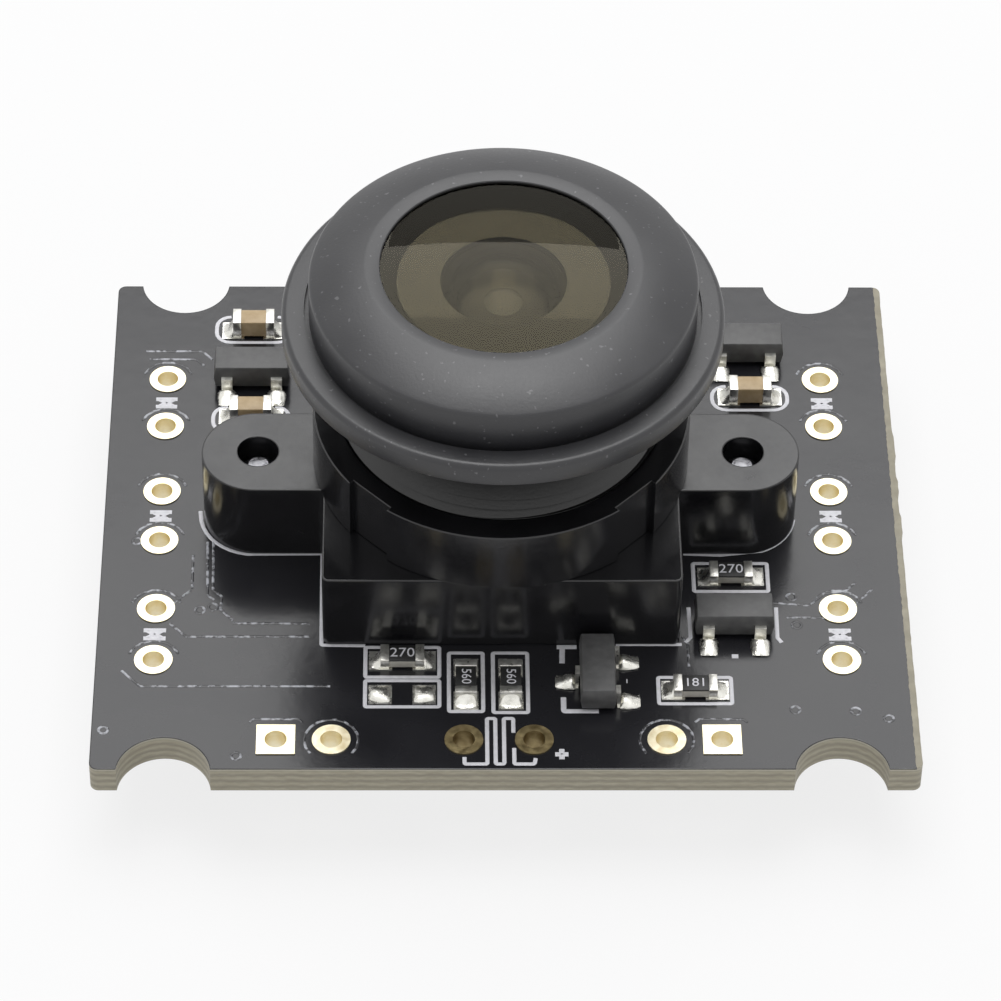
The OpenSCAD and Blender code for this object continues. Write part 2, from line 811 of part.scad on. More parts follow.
// A moulded body whose four sides slope to a band that the legs come out of.
module moulded_body(l, w, h) {
    translate([0, 0, pad_t + standoff]) intersection() {
        translate([-l / 2, 0, 0]) rotate([90, 0, 90]) linear_extrude(l) drafted_side(w, h);
        translate([0, w / 2, 0]) rotate([90, 0, 0]) linear_extrude(w) drafted_side(l, h);
    }
}

// Length of the flat foot at the end of a leg.
foot_l = 0.45;

// A leg that leaves a body at mid height, steps down and ends in a flat foot.
module gull_leg(reach, h, w) {
    exit_z = standoff + h / 2;
    knee = reach - foot_l + leg_t / 2;
    translate([-w / 2, 0, pad_t]) rotate([90, 0, 90]) linear_extrude(w)
        polygon([[0, exit_z + leg_t / 2], [knee, exit_z + leg_t / 2], [knee, leg_t],
            [reach, leg_t], [reach, 0], [knee - leg_t, 0], [knee - leg_t, exit_z - leg_t / 2],
            [0, exit_z - leg_t / 2]]);
}

// Legs along the front side of a body.
module leg_row(count, pitch, side, reach, h, w) {
    for (leg = [0 : count - 1])
        translate([(leg - (count - 1) / 2) * pitch, -side]) rotate(180) gull_leg(reach, h, w);
}

module sot_legs() {
    reach = (sot_span - sot_w) / 2;
    leg_row(2, 2 * sot_pitch, sot_w / 2, reach, sot_h, sot_leg_w);
    rotate(180) leg_row(1, sot_pitch, sot_w / 2, reach, sot_h, sot_leg_w);
}

module transistor_body(spot, turn = 0) {
    color([0.1, 0.1, 0.11]) on_face() translate(spot) rotate(turn) moulded_body(sot_l, sot_w, sot_h);
}

module transistor_left() transistor_body(sot_left_at);
module transistor_right() transistor_body(sot_right_at);
module transistor_upright() transistor_body(sot_upright_at, 90);
module transistor_front() transistor_body(sot_front_at);

module transistor_legs() {
    color([0.85, 0.85, 0.83]) on_face() {
        for (spot = [sot_left_at, sot_right_at, sot_front_at]) translate(spot) sot_legs();
        translate(sot_upright_at) rotate(90) sot_legs();
    }
}

module dimple(x, y, h) {
    translate([x, y, pad_t + standoff + h - 0.05]) cylinder(d = dimple_d, h = 1, $fn = 32);
}

module video_chip() {
    corner = video_w / 2 - 2 * dimple_d;
    color([0.1, 0.1, 0.11]) on_underside() translate(video_at) difference() {
        moulded_body(video_w, video_w, video_h);
        dimple(-corner, -corner, video_h);
    }
}

module video_chip_legs() {
    color([0.8, 0.8, 0.8]) on_underside() translate(video_at)
    for (turn = [0, 90, 180, 270]) rotate(turn)
        leg_row(video_legs, video_pitch, video_w / 2, video_leg, video_h, video_leg_w);
}

memory_legs = 4;

module memory_chip() {
    color([0.1, 0.1, 0.11]) on_underside() translate(memory_at) rotate(90) difference() {
        moulded_body(memory_l, memory_w, memory_h);
        dimple(dimple_d - memory_l / 2 + 0.3, dimple_d - memory_w / 2 + 0.3, memory_h);
    }
}

module memory_chip_legs() {
    color([0.8, 0.8, 0.8]) on_underside() translate(memory_at)
    for (turn = [90, 270]) rotate(turn)
        leg_row(memory_legs, memory_pitch, memory_w / 2, memory_leg, memory_h, memory_leg_w);
}

module regulator() {
    color([0.1, 0.1, 0.11]) on_underside() translate(regulator_at)
        moulded_body(sot_l, sot_w, sot_h);
}

module regulator_legs() color([0.8, 0.8, 0.8]) on_underside() translate(regulator_at) sot_legs();

// Small parts on the underside ------------------------------------------------------------

function under_chip_spots() = concat(under_capacitor_spots, under_resistor_spots);

module under_capacitors() {
    color([0.78, 0.66, 0.5]) on_underside()
    for (spot = under_capacitor_spots) translate(spot) chip_body(capacitor_h);
}

module under_resistors() {
    color([0.12, 0.12, 0.13]) on_underside()
    for (spot = under_resistor_spots) translate(spot) chip_body(resistor_h);
}

module under_chip_ends() {
    color([0.9, 0.88, 0.78]) on_underside() {
        for (spot = under_capacitor_spots) translate(spot) chip_ends(capacitor_h);
        for (spot = under_resistor_spots) translate(spot) chip_ends(resistor_h);
    }
}

// Crystal ----------------------------------------------------------------------------------

crystal_base_l = crystal_l + 2 * crystal_rim;
crystal_base_w = crystal_w + 2 * crystal_rim;
crystal_lead_t = 0.2;

module at_crystal() on_underside() translate([crystal_at.x, crystal_at.y, pad_t]) children();

// Half of the can's cross-section, from its middle plane outwards.
module can_side() {
    can_h = crystal_h - crystal_base_t;
    translate([0, crystal_base_t]) {
        rounded_band(crystal_w / 2, 0, can_h, crystal_round);
        band(crystal_w / 2 + crystal_rim, 0, crystal_rim_t);
    }
}

module crystal_can() {
    straight = crystal_l - crystal_w;
    color([0.75, 0.75, 0.76]) at_crystal() {
        for (side = [-1, 1]) translate([side * straight / 2, 0, 0]) rotate_extrude() can_side();
        for (turn = [0, 180]) rotate(turn)
            translate([-straight / 2, 0, 0]) rotate([90, 0, 90]) linear_extrude(straight) can_side();
    }
}

module crystal_lead_blocks() {
    for (side = [0, 180]) rotate(side) translate([crystal_base_l / 4, -crystal_lead_w / 2, 0])
        cube([crystal_base_l / 4 + crystal_lead_out, crystal_lead_w, crystal_lead_t]);
}

module crystal_base() {
    color([0.12, 0.12, 0.12]) at_crystal() difference() {
        translate([-crystal_base_l / 2, -crystal_base_w / 2, 0])
            cube([crystal_base_l, crystal_base_w, crystal_base_t]);
        crystal_lead_blocks();
    }
}

module crystal_leads() color([0.8, 0.8, 0.8]) at_crystal() crystal_lead_blocks();

// USB socket ----------------------------------------------------------------------------------

socket_w = (socket_ways - 1) * socket_pitch + 2 * socket_side;
contact_z = socket_h / 2;
anchor_mid = socket_d - anchor_d / 2 - 0.6;

function way_x(way) = (way - (socket_ways - 1) / 2) * socket_pitch;

// The socket's mouth at the board's back edge, with Z growing downwards.
module at_socket() {
    translate([mid_x, board_d / 2 - socket_in, stand_h]) mirror([0, 0, 1]) children();
}

module socket_block(w, back, front, low, high) {
    translate([-w / 2, -back, low]) cube([w, back - front, high - low]);
}

module usb_socket() {
    key_w = 0.9;
    inner_w = socket_w - 2 * socket_wall;
    color([0.9, 0.88, 0.8]) at_socket() translate([0, 0, pad_t]) difference() {
        socket_block(socket_w, socket_d, 0, 0, socket_h);
        socket_block(inner_w, mouth_d, -eps, socket_wall, socket_h - socket_wall);
        for (side = [-1, 1]) translate([side * (inner_w / 2 - key_w), 0])
            socket_block(key_w, mouth_d * 2 / 3, -eps, socket_h - 2 * socket_wall, socket_h + eps);
        for (way = [0 : socket_ways - 1]) translate([way_x(way), 0])
            socket_block(contact_t, socket_d + eps, mouth_d - eps,
                contact_z - contact_t / 2, contact_z + contact_t / 2);
    }
}

// A contact: a pin in the mouth that comes out in front and steps down to its foot.
module usb_contact() {
    heel = socket_d + contact_t;
    upper = contact_z + contact_t / 2;
    lower = contact_z - contact_t / 2;
    tip = mouth_d - contact_in;
    translate([-contact_t / 2, 0, pad_t]) rotate([90, 0, 90]) linear_extrude(contact_t)
        polygon([[-tip, upper], [-heel, upper], [-heel, contact_t],
            [-heel - contact_foot, contact_t], [-heel - contact_foot, 0], [-socket_d, 0],
            [-socket_d, lower], [-tip, lower]]);
}

module usb_contacts() {
    color([0.85, 0.8, 0.6]) at_socket()
    for (way = [0 : socket_ways - 1]) translate([way_x(way), 0, 0]) usb_contact();
}

module usb_anchors() {
    color([0.8, 0.8, 0.8]) at_socket()
    for (side = [0, 1]) mirror([side, 0, 0])
        translate([socket_w / 2, -anchor_mid - anchor_d / 2, pad_t]) {
            cube([anchor_t, anchor_d, anchor_h]);
            cube([anchor_w, anchor_d, anchor_t]);
        }
}

circuit_board();
led_holes();
wire_holes();
light_sensor_holes();
face_pads();
underside_pads();
lens_holder();
holder_screws();
lens_barrel();
front_element();
front_spacer();
second_element();
aperture_stop();
third_element();
fourth_element();
rear_spacer();
infrared_filter();
image_sensor();
sensor_chip();
sensor_window();
resistor_left();
resistor_right();
resistor_front();
resistor_upright_1();
resistor_upright_2();
resistor_ends();
capacitor_back();
capacitor_left();
capacitor_right();
capacitor_ends();
transistor_left();
transistor_right();
transistor_upright();
transistor_front();
transistor_legs();
video_chip();
video_chip_legs();
memory_chip();
memory_chip_legs();
regulator();
regulator_legs();
under_capacitors();
under_resistors();
under_chip_ends();
crystal_can();
crystal_base();
crystal_leads();
usb_socket();
usb_contacts();
usb_anchors();
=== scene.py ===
# %% [markdown]
# # Dressing a small camera module
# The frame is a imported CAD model: a 30 by 25 mm circuit board with a moulded lens holder, a
# wide lens and the small parts round it. CAD gives every size and place. This lesson adds what
# a CAD solid leaves out: rounded edges, the lens thread, printed ink, solder, and materials that
# catch the light as lacquer, glass, moulded plastic and anodised metal do.

# %% Load the frame
import math
import random

import bmesh
import bpy
from mathutils import Matrix, Vector, geometry


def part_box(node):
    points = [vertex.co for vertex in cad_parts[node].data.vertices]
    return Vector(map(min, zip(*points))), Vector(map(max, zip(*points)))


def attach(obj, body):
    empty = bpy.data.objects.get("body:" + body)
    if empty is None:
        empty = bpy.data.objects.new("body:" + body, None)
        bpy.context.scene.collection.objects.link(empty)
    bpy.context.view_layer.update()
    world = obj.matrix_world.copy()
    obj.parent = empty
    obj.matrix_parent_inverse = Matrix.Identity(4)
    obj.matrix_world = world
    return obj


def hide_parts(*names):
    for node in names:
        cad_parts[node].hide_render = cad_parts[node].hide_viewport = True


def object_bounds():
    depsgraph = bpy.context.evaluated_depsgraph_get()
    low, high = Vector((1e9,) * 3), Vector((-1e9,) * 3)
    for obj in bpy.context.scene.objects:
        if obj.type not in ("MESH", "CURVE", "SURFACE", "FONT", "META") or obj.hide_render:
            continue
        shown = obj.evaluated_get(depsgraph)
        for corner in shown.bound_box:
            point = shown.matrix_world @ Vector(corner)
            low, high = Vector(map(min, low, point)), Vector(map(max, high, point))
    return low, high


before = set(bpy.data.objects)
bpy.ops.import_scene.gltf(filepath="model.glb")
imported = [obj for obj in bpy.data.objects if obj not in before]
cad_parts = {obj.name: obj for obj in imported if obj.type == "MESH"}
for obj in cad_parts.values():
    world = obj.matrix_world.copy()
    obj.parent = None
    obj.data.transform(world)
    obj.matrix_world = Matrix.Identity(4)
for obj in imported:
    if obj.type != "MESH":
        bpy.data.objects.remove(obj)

mm = 0.001
cad_box = [list(corner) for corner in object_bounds()]
print("CAD box, mm:", [[round(v / mm, 2) for v in corner] for corner in cad_box])

# %% [markdown]
# ## Places
# Drawings of a board are read from its middle, and drawings of a lens from its axis. Both origins
# come from the frame's boxes, so a new pack of the model moves everything here with it. Heights
# are always counted up from the board's printed face.

# %% Origins
board_low, board_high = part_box("circuit_board")
lens_low, lens_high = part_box("lens_barrel")
holder_low, holder_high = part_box("lens_holder")
board_middle = (board_low + board_high) / 2
lens_middle = (lens_low + lens_high) / 2
face = board_high.z


def on_board(x, y, z=0.0):
    """A point in millimetres from the middle of the board's face."""
    return Vector((board_middle.x + x * mm, board_middle.y + y * mm, face + z * mm))


def on_axis(x, y, z=0.0):
    """A point in millimetres from the lens axis and the board's face."""
    return Vector((lens_middle.x + x * mm, lens_middle.y + y * mm, face + z * mm))


def middle(node):
    """The middle of a CAD node in millimetres from the middle of the board's face."""
    low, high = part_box(node)
    return (((low + high) / 2) - on_board(0, 0)) / mm


def height(node):
    """The top of a CAD node in millimetres above the board's face."""
    return (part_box(node)[1].z - face) / mm


board_w, board_d = [v / mm for v in (board_high - board_low)[:2]]
board_t = (board_high.z - board_low.z) / mm
axis_x, axis_y = [v / mm for v in (lens_middle - board_middle)[:2]]
print("board, mm:", round(board_w, 2), round(board_d, 2), round(board_t, 2))
print("lens axis from the board's middle, mm:", round(axis_x, 3), round(axis_y, 3))

# %% [markdown]
# ## Node trees as sums
# Materials and Geometry Nodes are both node trees. One method makes any node: it takes the node's
# type, its settings and the values or links of its sockets. A wire that comes back from it takes
# part in plain Python sums, so that a mask reads as it would on paper.

# %% One class for wires, one for trees
class Wire:
    """An output socket that Python's signs can work on."""

    def __init__(self, tree, socket):
        self.tree, self.socket = tree, socket

    def out(self, name):
        """Another output of the same node."""
        return Wire(self.tree, self.socket.node.outputs[name])

    def sign(self, operation, *values):
        sockets = {str(i): v for i, v in enumerate(values)}
        return self.tree.node("ShaderNodeMath", {"operation": operation}, **sockets)

    def __add__(self, other): return self.sign("ADD", self, other)
    def __sub__(self, other): return self.sign("SUBTRACT", self, other)
    def __rsub__(self, other): return self.sign("SUBTRACT", other, self)
    def __mul__(self, other): return self.sign("MULTIPLY", self, other)
    def __pow__(self, other): return self.sign("POWER", self, other)
    def __gt__(self, other): return self.sign("GREATER_THAN", self, other)
    def __lt__(self, other): return self.sign("LESS_THAN", self, other)
    def __abs__(self): return self.sign("ABSOLUTE", self)
    def clamp(self): return self.tree.node("ShaderNodeClamp", Value=self)
    __radd__, __rmul__ = __add__, __mul__


class Tree:
    """A node tree with one way to make a node."""

    def __init__(self, tree):
        self.tree = tree
        tree.nodes.clear()

    def node(self, kind, settings=None, **values):
        """Spaces in a socket's name are written as underscores; a number picks a socket by place."""
        made = self.tree.nodes.new(kind)
        for name, value in (settings or {}).items():
            if name == "stops":
                ramp = made.color_ramp
                while len(ramp.elements) < len(value):
                    ramp.elements.new(0.5)
                for element, (place, colour) in zip(ramp.elements, value):
                    element.position, element.color = place, (*colour, 1)
            else:
                setattr(made, name, value)
        for name, value in values.items():
            socket = made.inputs[int(name)] if name.isdigit() else made.inputs[name.replace("_", " ")]
            if isinstance(value, Wire):
                self.tree.links.new(value.socket, socket)
            elif isinstance(value, (list, tuple)) and socket.type == "RGBA" and len(value) == 3:
                socket.default_value = (*value, 1)
            else:
                socket.default_value = value
        return Wire(self, made.outputs[0]) if made.outputs else None


print("node trees are ready")

# %% [markdown]
# ## Finishes
# Real finishes are never one flat colour. Each material starts from the same three facts: where on
# the object the point is, a coarse noise for handling and moulding, and a fine noise for grain. The
# pattern reads Object coordinates, so it stays on the piece from every side.

# %% A helper for finishes
class Finish(Tree):
    """A material with coordinates, noise and one shader."""

    def __init__(self, name):
        self.material = bpy.data.materials.new(name)
        self.material.use_nodes = True
        super().__init__(self.material.node_tree)
        self.place = self.node("ShaderNodeTexCoord").out("Object")
        self.xyz = self.node("ShaderNodeSeparateXYZ", Vector=self.place)

    def noise(self, per_mm, detail=2.0, stretch=None):
        """Noise between about 0.3 and 0.7, with so many lumps to a millimetre."""
        place = self.place
        if stretch:
            place = self.node("ShaderNodeMapping", {}, Vector=place, Scale=stretch)
        return self.node("ShaderNodeTexNoise", {}, Vector=place, Scale=per_mm / mm, Detail=detail)

    def mix(self, share, a, b):
        """Colour a where the share is 0, and b where it is 1."""
        made = self.tree.nodes.new("ShaderNodeMix")
        made.data_type = "RGBA"
        for socket, value in zip((made.inputs[0], made.inputs[6], made.inputs[7]), (share, a, b)):
            if isinstance(value, Wire):
                self.tree.links.new(value.socket, socket)
            else:
                socket.default_value = value if isinstance(value, float) else (*value, 1)
        return Wire(self, made.outputs[2])

    def bump(self, height, depth_mm, strength=1.0, under=None):
        values = {"Height": height, "Distance": depth_mm * mm, "Strength": strength}
        if under:
            values["Normal"] = under
        return self.node("ShaderNodeBump", {}, **values)

    def show(self, **values):
        """Ends the tree with a Principled shader."""
        shader = self.node("ShaderNodeBsdfPrincipled", {}, **values)
        self.node("ShaderNodeOutputMaterial", {}, Surface=shader)
        return self.material


print("finish helper is ready")

# %% [markdown]
# ### Black lacquer over copper, and bare glass laminate at the edges
# The board's face is a glossy black resin. The routed walls and a thin strip along the right edge,
# where the board was snapped out of its panel, show the glass cloth laminate: pale olive layers,
# each a few hundredths of a millimetre thick, with the marks of the cutter. One material tells the
# two apart by height and by the distance to the right edge, which is rough because it was broken.

# %% Board finish
strip_w = 0.3
lacquer_side = board_high.x - strip_w * mm


def board_finish():
    f = Finish("lacquer_and_laminate")
    x, z = f.xyz.out("X"), f.xyz.out("Z")
    ragged = (f.noise(3.0, 4.0) - 0.5) * (0.12 * mm)
    near_face = abs(z - (face - board_t * mm / 2)) > (board_t * mm / 2 - 0.035 * mm)
    lacquered = near_face * ((x + ragged) < lacquer_side)
    layer = f.node("ShaderNodeTexWave", {"wave_type": "BANDS", "bands_direction": "Z"},
                   Vector=f.place, Scale=1 / mm, Distortion=2.0, Detail=2.0, Detail_Scale=2.0)
    fibre = f.noise(2.2, 5.0, (1.0, 1.0, 6.0))
    pale = f.mix(fibre, (0.30, 0.265, 0.19), (0.52, 0.49, 0.38))
    laminate = f.mix(layer * 0.55, pale, (0.20, 0.185, 0.15))
    # A pale band just under the face is a painted highlight along the top edge of the walls.
    rim = abs(z - (face - 0.06 * mm)) < 0.05 * mm
    laminate = f.mix(rim * 0.5, laminate, (0.62, 0.60, 0.50))
    dust = f.noise(0.35, 6.0)
    ink = f.mix(dust, (0.010, 0.010, 0.012), (0.020, 0.020, 0.024))
    colour = f.mix(lacquered, laminate, ink)
    peel = f.noise(1.6, 3.0)
    grain = f.noise(7.0, 3.0)
    rough = lacquered * -0.36 + 0.56 + (dust - 0.5) * 0.14
    normal = f.bump(peel + grain * 0.15 + fibre * (1 - lacquered) * 3.0, 0.010, 0.6)
    return f.show(Base_Color=colour, Roughness=rough.clamp(), Normal=normal, IOR=1.5)


lacquer = board_finish()
print("made", lacquer.name)

# %% [markdown]
# ### Printed white ink and ridges under the lacquer
# The outlines round the parts are a thick white epoxy ink, slightly uneven where the mesh of the
# printing screen held it back. The copper tracks lie under the lacquer and lift it into low ridges,
# whose finish carries painted glints in light patches.

# %% Ink and track finishes
def ink_finish():
    f = Finish("printed_ink")
    patch = f.noise(5.0, 4.0)
    colour = f.mix(patch, (0.62, 0.62, 0.66), (0.86, 0.86, 0.90))
    return f.show(Base_Color=colour, Roughness=(patch * 0.3 + 0.45),
                  Normal=f.bump(patch, 0.01, 0.5))


def track_finish():
    f = Finish("lacquer_over_tracks")
    patch = f.noise(4.0, 4.0)
    # Light patches in the colour are painted glints on the ridges.
    painted_glint = ((patch - 0.46) * 7.0).clamp()
    colour = f.mix(painted_glint, (0.03, 0.03, 0.034), (0.42, 0.43, 0.47))
    return f.show(Base_Color=colour, Roughness=(patch * 0.25 + 0.15), IOR=1.6,
                  Normal=f.bump(patch, 0.02, 0.6))


ink, lifted_lacquer = ink_finish(), track_finish()
print("made", ink.name, lifted_lacquer.name)

# %% [markdown]
# ### Metals
# Gold over nickel on the pads, tin-rich solder, tinned legs, a steel screw and a drawn nickel can
# differ in tint, in how rough they are and in the size of their lumps. One function makes them all.

# %% Metal finishes
def metal_finish(name, dark, bright, rough, per_mm=4.0, lumps=0.01, metallic=1.0):
    f = Finish(name)
    patch = f.noise(per_mm, 4.0)
    fine = f.noise(per_mm * 6, 2.0)
    colour = f.mix((patch * 2.4 - 0.7).clamp(), dark, bright)
    return f.show(Base_Color=colour, Metallic=metallic, Normal=f.bump(patch + fine * 0.3, lumps, 0.7),
                  Roughness=(patch * 0.3 + (rough - 0.15)).clamp())


gold = metal_finish("gold_plating", (0.86, 0.74, 0.46), (1.0, 0.94, 0.74), 0.36, 3.0, 0.006)
# The light sensor's holes get a darker brown gold: painted shade on their plating.
gold_in_painted_shade = metal_finish("tarnished_plating", (0.20, 0.15, 0.07), (0.42, 0.34, 0.18), 0.40, 3.0, 0.02)
solder = metal_finish("solder", (0.62, 0.61, 0.56), (0.93, 0.92, 0.86), 0.28, 3.0, 0.05)
tinned = metal_finish("tinned_legs", (0.66, 0.65, 0.60), (0.90, 0.89, 0.84), 0.32, 4.0, 0.02)
# The screws' steel is darkened: painted shade for their tips deep in the ear holes.
screw_steel = metal_finish("screw_steel", (0.10, 0.10, 0.11), (0.40, 0.40, 0.42), 0.30, 3.0, 0.03)
nickel_can = metal_finish("drawn_nickel", (0.52, 0.51, 0.49), (0.70, 0.69, 0.67), 0.30, 1.0, 0.01)
print("made six metals")

# %% [markdown]
# ### Anodised aluminium
# The lens barrel is turned, bead blasted and anodised a soft black. Blasting gives it an even fine
# grain and a broad sheen, and a little dust shows as specks. The threaded neck is painted darker,
# as painted shade under the flange. The bores are blackened, so that no stray light reaches the
# sensor. One material tells these places apart by height and by distance from the axis.

# %% Barrel finish
def anodised_finish():
    f = Finish("blasted_black_anodising")
    x, y, z = [f.xyz.out(n) for n in "XYZ"]
    off_axis = ((x - lens_middle.x) ** 2.0 + (y - lens_middle.y) ** 2.0) ** 0.5
    bore_edge, lip_under, neck_top = 4.95 * mm, lens_high.z - 0.13 * mm, lens_high.z - 3.2 * mm
    inside = (off_axis < bore_edge) * (z < lip_under)
    # The neck below neck_top is painted near-black: painted shade under the flange.
    painted_neck_shade = (z < neck_top) * (1 - inside)
    cloud = f.noise(0.5, 4.0)
    grain = f.noise(9.0, 3.0)
    speck = (f.noise(5.0, 1.0) - 0.70).clamp() * 12.0
    base = f.mix((cloud * 2.0 - 0.5).clamp(), (0.016, 0.016, 0.019), (0.026, 0.026, 0.029))
    colour = f.mix(speck.clamp() * 0.3, base, (0.30, 0.30, 0.31))
    colour = f.mix(painted_neck_shade, colour, (0.008, 0.008, 0.008))
    colour = f.mix(inside, colour, (0.001, 0.001, 0.001))
    rough = 0.36 + (cloud - 0.5) * 0.16 + (grain - 0.5) * 0.10 + inside * 0.5
    return f.show(Base_Color=colour, Metallic=0.0, Roughness=rough.clamp(), IOR=1.6,
                  Normal=f.bump(grain * (1 - inside), 0.006, 0.7))


anodised = anodised_finish()
print("made", anodised.name)

# %% [markdown]
# ### Moulded plastics, ceramics and glass
# Black glass-filled nylon comes from a polished mould, so it is glossy, with faint flow marks and a
# few scuffs. Chip bodies are matt epoxy. Capacitors are fired tan ceramic and resistors carry a
# thin black glaze. The optical glass is clear; its coating adds a weak olive-brown reflection, and
# the front glass is tinted olive-brown as a painted reflection of that coating.

# %% Plastic and ceramic finishes
def moulded_finish(name, dark, light, rough, per_mm=1.0, depth=0.006, sheen=0.0):
    f = Finish(name)
    cloud = f.noise(per_mm, 4.0)
    fine = f.noise(per_mm * 9, 3.0)
    colour = f.mix((cloud * 2.0 - 0.5).clamp(), dark, light)
    level = (cloud - 0.5) * 0.25 + (fine - 0.5) * 0.12 + rough
    return f.show(Base_Color=colour, Roughness=level.clamp(), IOR=1.55,
                  Normal=f.bump(cloud * 0.6 + fine * 0.4, depth, 0.7))


holder_black = moulded_finish("moulded_black_nylon", (0.007, 0.007, 0.008), (0.013, 0.013, 0.015),
                              0.20, 0.6, 0.012)
matt_black = moulded_finish("blackened_spacer", (0.004, 0.004, 0.004), (0.008, 0.008, 0.008), 0.75)
epoxy = moulded_finish("chip_epoxy", (0.065, 0.065, 0.066), (0.11, 0.11, 0.11), 0.48, 3.0, 0.015)
glaze = moulded_finish("resistor_glaze", (0.012, 0.012, 0.012), (0.03, 0.03, 0.03), 0.35, 2.0)
tan = moulded_finish("capacitor_ceramic", (0.40, 0.28, 0.14), (0.56, 0.43, 0.26), 0.45, 2.5, 0.01)
package = moulded_finish("sensor_ceramic", (0.06, 0.06, 0.065), (0.10, 0.10, 0.10), 0.5, 2.0)
nylon = moulded_finish("socket_nylon", (0.62, 0.58, 0.47), (0.76, 0.73, 0.63), 0.42, 0.8, 0.01)
silicon = moulded_finish("bare_silicon", (0.05, 0.09, 0.08), (0.10, 0.13, 0.16), 0.15, 1.5, 0.0)
print("made eight moulded and fired finishes")


# %% Glass finishes
def glass_finish(name, tint, ior, rough, coating):
    f = Finish(name)
    smear = f.noise(0.4, 3.0)
    return f.show(Base_Color=f.mix(smear, tint, tuple(min(1.0, c * 1.04) for c in tint)),
                  Roughness=(smear * rough), IOR=ior, Transmission_Weight=1.0,
                  Specular_Tint=coating)


# The front glass's olive-brown tint is a painted reflection of its coating.
coated_glass = glass_finish("coated_glass", (0.55, 0.51, 0.38), 1.50, 0.02, (0.34, 0.30, 0.19))
clear_glass = glass_finish("clear_glass", (0.90, 0.92, 0.90), 1.50, 0.02, (0.6, 0.6, 0.7))
filter_glass = glass_finish("infrared_filter_glass", (0.55, 0.80, 0.82), 1.50, 0.02, (1.0, 1.0, 1.0))
print("made three glasses")

# %% [markdown]
# ## Turned and cut pieces
# A lens is made on a lathe: a profile goes round the axis. The holder and the board are cut from
# outlines: a flat shape, possibly with holes, gets a thickness and a small rounding on its edges.
# Two mesh functions do that here, because they keep the tiny roundings under control, and a
# rounding of a few hundredths of a millimetre is what draws the fine light line along an edge.

# %% A piece on its body
def shown(name, data):
    """An object at the origin, in the scene."""
    made = bpy.data.objects.new(name, data)
    bpy.context.scene.collection.objects.link(made)
    return made


def smoothed(mesh, sharp):
    """Smooth shading with sharp edges past an angle in degrees."""
    mesh.shade_smooth()
    mesh.set_sharp_from_angle(angle=math.radians(sharp))


def kept(name, mesh, nodes=()):
    """A finished mesh rides on the body, and the nodes it stands for are hidden."""
    piece = shown(name, mesh)
    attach(piece, "root")
    if nodes:
        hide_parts(*nodes)
    print(f"{name}: {len(mesh.vertices)} points, {len(mesh.polygons)} faces")
    return piece


def as_piece(name, verts, faces, material, slot, nodes=(), sharp=32):
    """Points and faces in metres become a piece of the object."""
    mesh = bpy.data.meshes.new(name)
    mesh.from_pydata([tuple(v) for v in verts], [], faces)
    mesh.validate()
    smoothed(mesh, sharp)
    mesh.materials.append(material)
    return kept(name, mesh, nodes)


def arc(x, y, r, start, end, steps=8):
    """Points on a circle, from one angle to another, in degrees."""
    return [(x + r * math.cos(math.radians(start + (end - start) * i / steps)),
             y + r * math.sin(math.radians(start + (end - start) * i / steps)))
            for i in range(steps + 1)]


def turned(profile, segments=192):
    """A closed profile of (radius, height) goes round the lens axis. Points on the axis are shared."""
    verts, faces, rings = [], [], []
    for r, z in profile:
        if r < 1e-6:
            rings.append([len(verts)])
            verts.append(on_axis(0, 0, z))
        else:
            rings.append(list(range(len(verts), len(verts) + segments)))
            for i in range(segments):
                a = 2 * math.pi * i / segments
                verts.append(on_axis(r * math.cos(a), r * math.sin(a), z))
    for a, b in zip(rings, rings[1:] + rings[:1]):
        for i in range(segments):
            j = (i + 1) % segments
            corners = [a[i % len(a)], a[j % len(a)], b[j % len(b)], b[i % len(b)]]
            corners = list(dict.fromkeys(corners))
            if len(corners) > 2:
                faces.append(corners)
    return verts, faces


def inset(loop, d):
    """The loop moved towards its left, which is where the material is."""
    out = []
    for i, p in enumerate(loop):
        a = Vector(p) - Vector(loop[i - 1])
        b = Vector(loop[(i + 1) % len(loop)]) - Vector(p)
        a, b = Vector((-a.y, a.x)).normalized(), Vector((-b.y, b.x)).normalized()
        out.append(tuple(Vector(p) + (a + b) * d / max(0.4, 1 + a.dot(b))))
    return out


def slab(loops, low, high, edge, place, steps=3):
    """A plate from an outline that runs anticlockwise and holes that run clockwise."""
    level = [(0.0, edge * 1.6)]
    level += [(edge * (1 - math.cos(t)), edge * (1 - math.sin(t)))
              for t in [math.pi / 2 * i / steps for i in range(steps + 1)]]
    level += [(edge * 1.6, 0.0)]
    levels = [(low + h, d) for h, d in level] + [(high - h, d) for h, d in reversed(level)]
    verts, faces, caps = [], [], {}
    for loop in loops:
        rings = []
        for z, d in levels:
            ring = inset(loop, d)
            rings.append(range(len(verts), len(verts) + len(ring)))
            verts += [place(x, y, z) for x, y in ring]
        for a, b in zip(rings, rings[1:]):
            for i in range(len(a)):
                j = (i + 1) % len(a)
                faces.append([a[i], a[j], b[j], b[i]])
        caps.setdefault("low", []).append(rings[0])
        caps.setdefault("high", []).append(rings[-1])
    for side, rings in caps.items():
        order = [i for ring in rings for i in ring]
        flat = [[Vector((verts[i].x, verts[i].y, 0)) / mm for i in ring] for ring in rings]
        for tri in geometry.tessellate_polygon(flat):
            tri = [order[i] for i in tri]
            a, b, c = [verts[i] for i in tri]
            up = (b - a).cross(c - a).z > 0
            faces.append(tri if up == (side == "high") else tri[::-1])
    return verts, faces


print("lathe and cutter are ready")

# %% [markdown]
# ### The lens barrel
# From the bottom: a threaded neck, a flange to grip, a narrow groove, a straight wall, and a curved
# crown that rises to the lip round the glass. CAD gives the heights of its ends and the flange's
# width. The smaller steps are the sizes of the drawing. The inner steps seat the glass, so they
# are turned as well. The crown is an arc through two points, so that it meets the lip exactly.

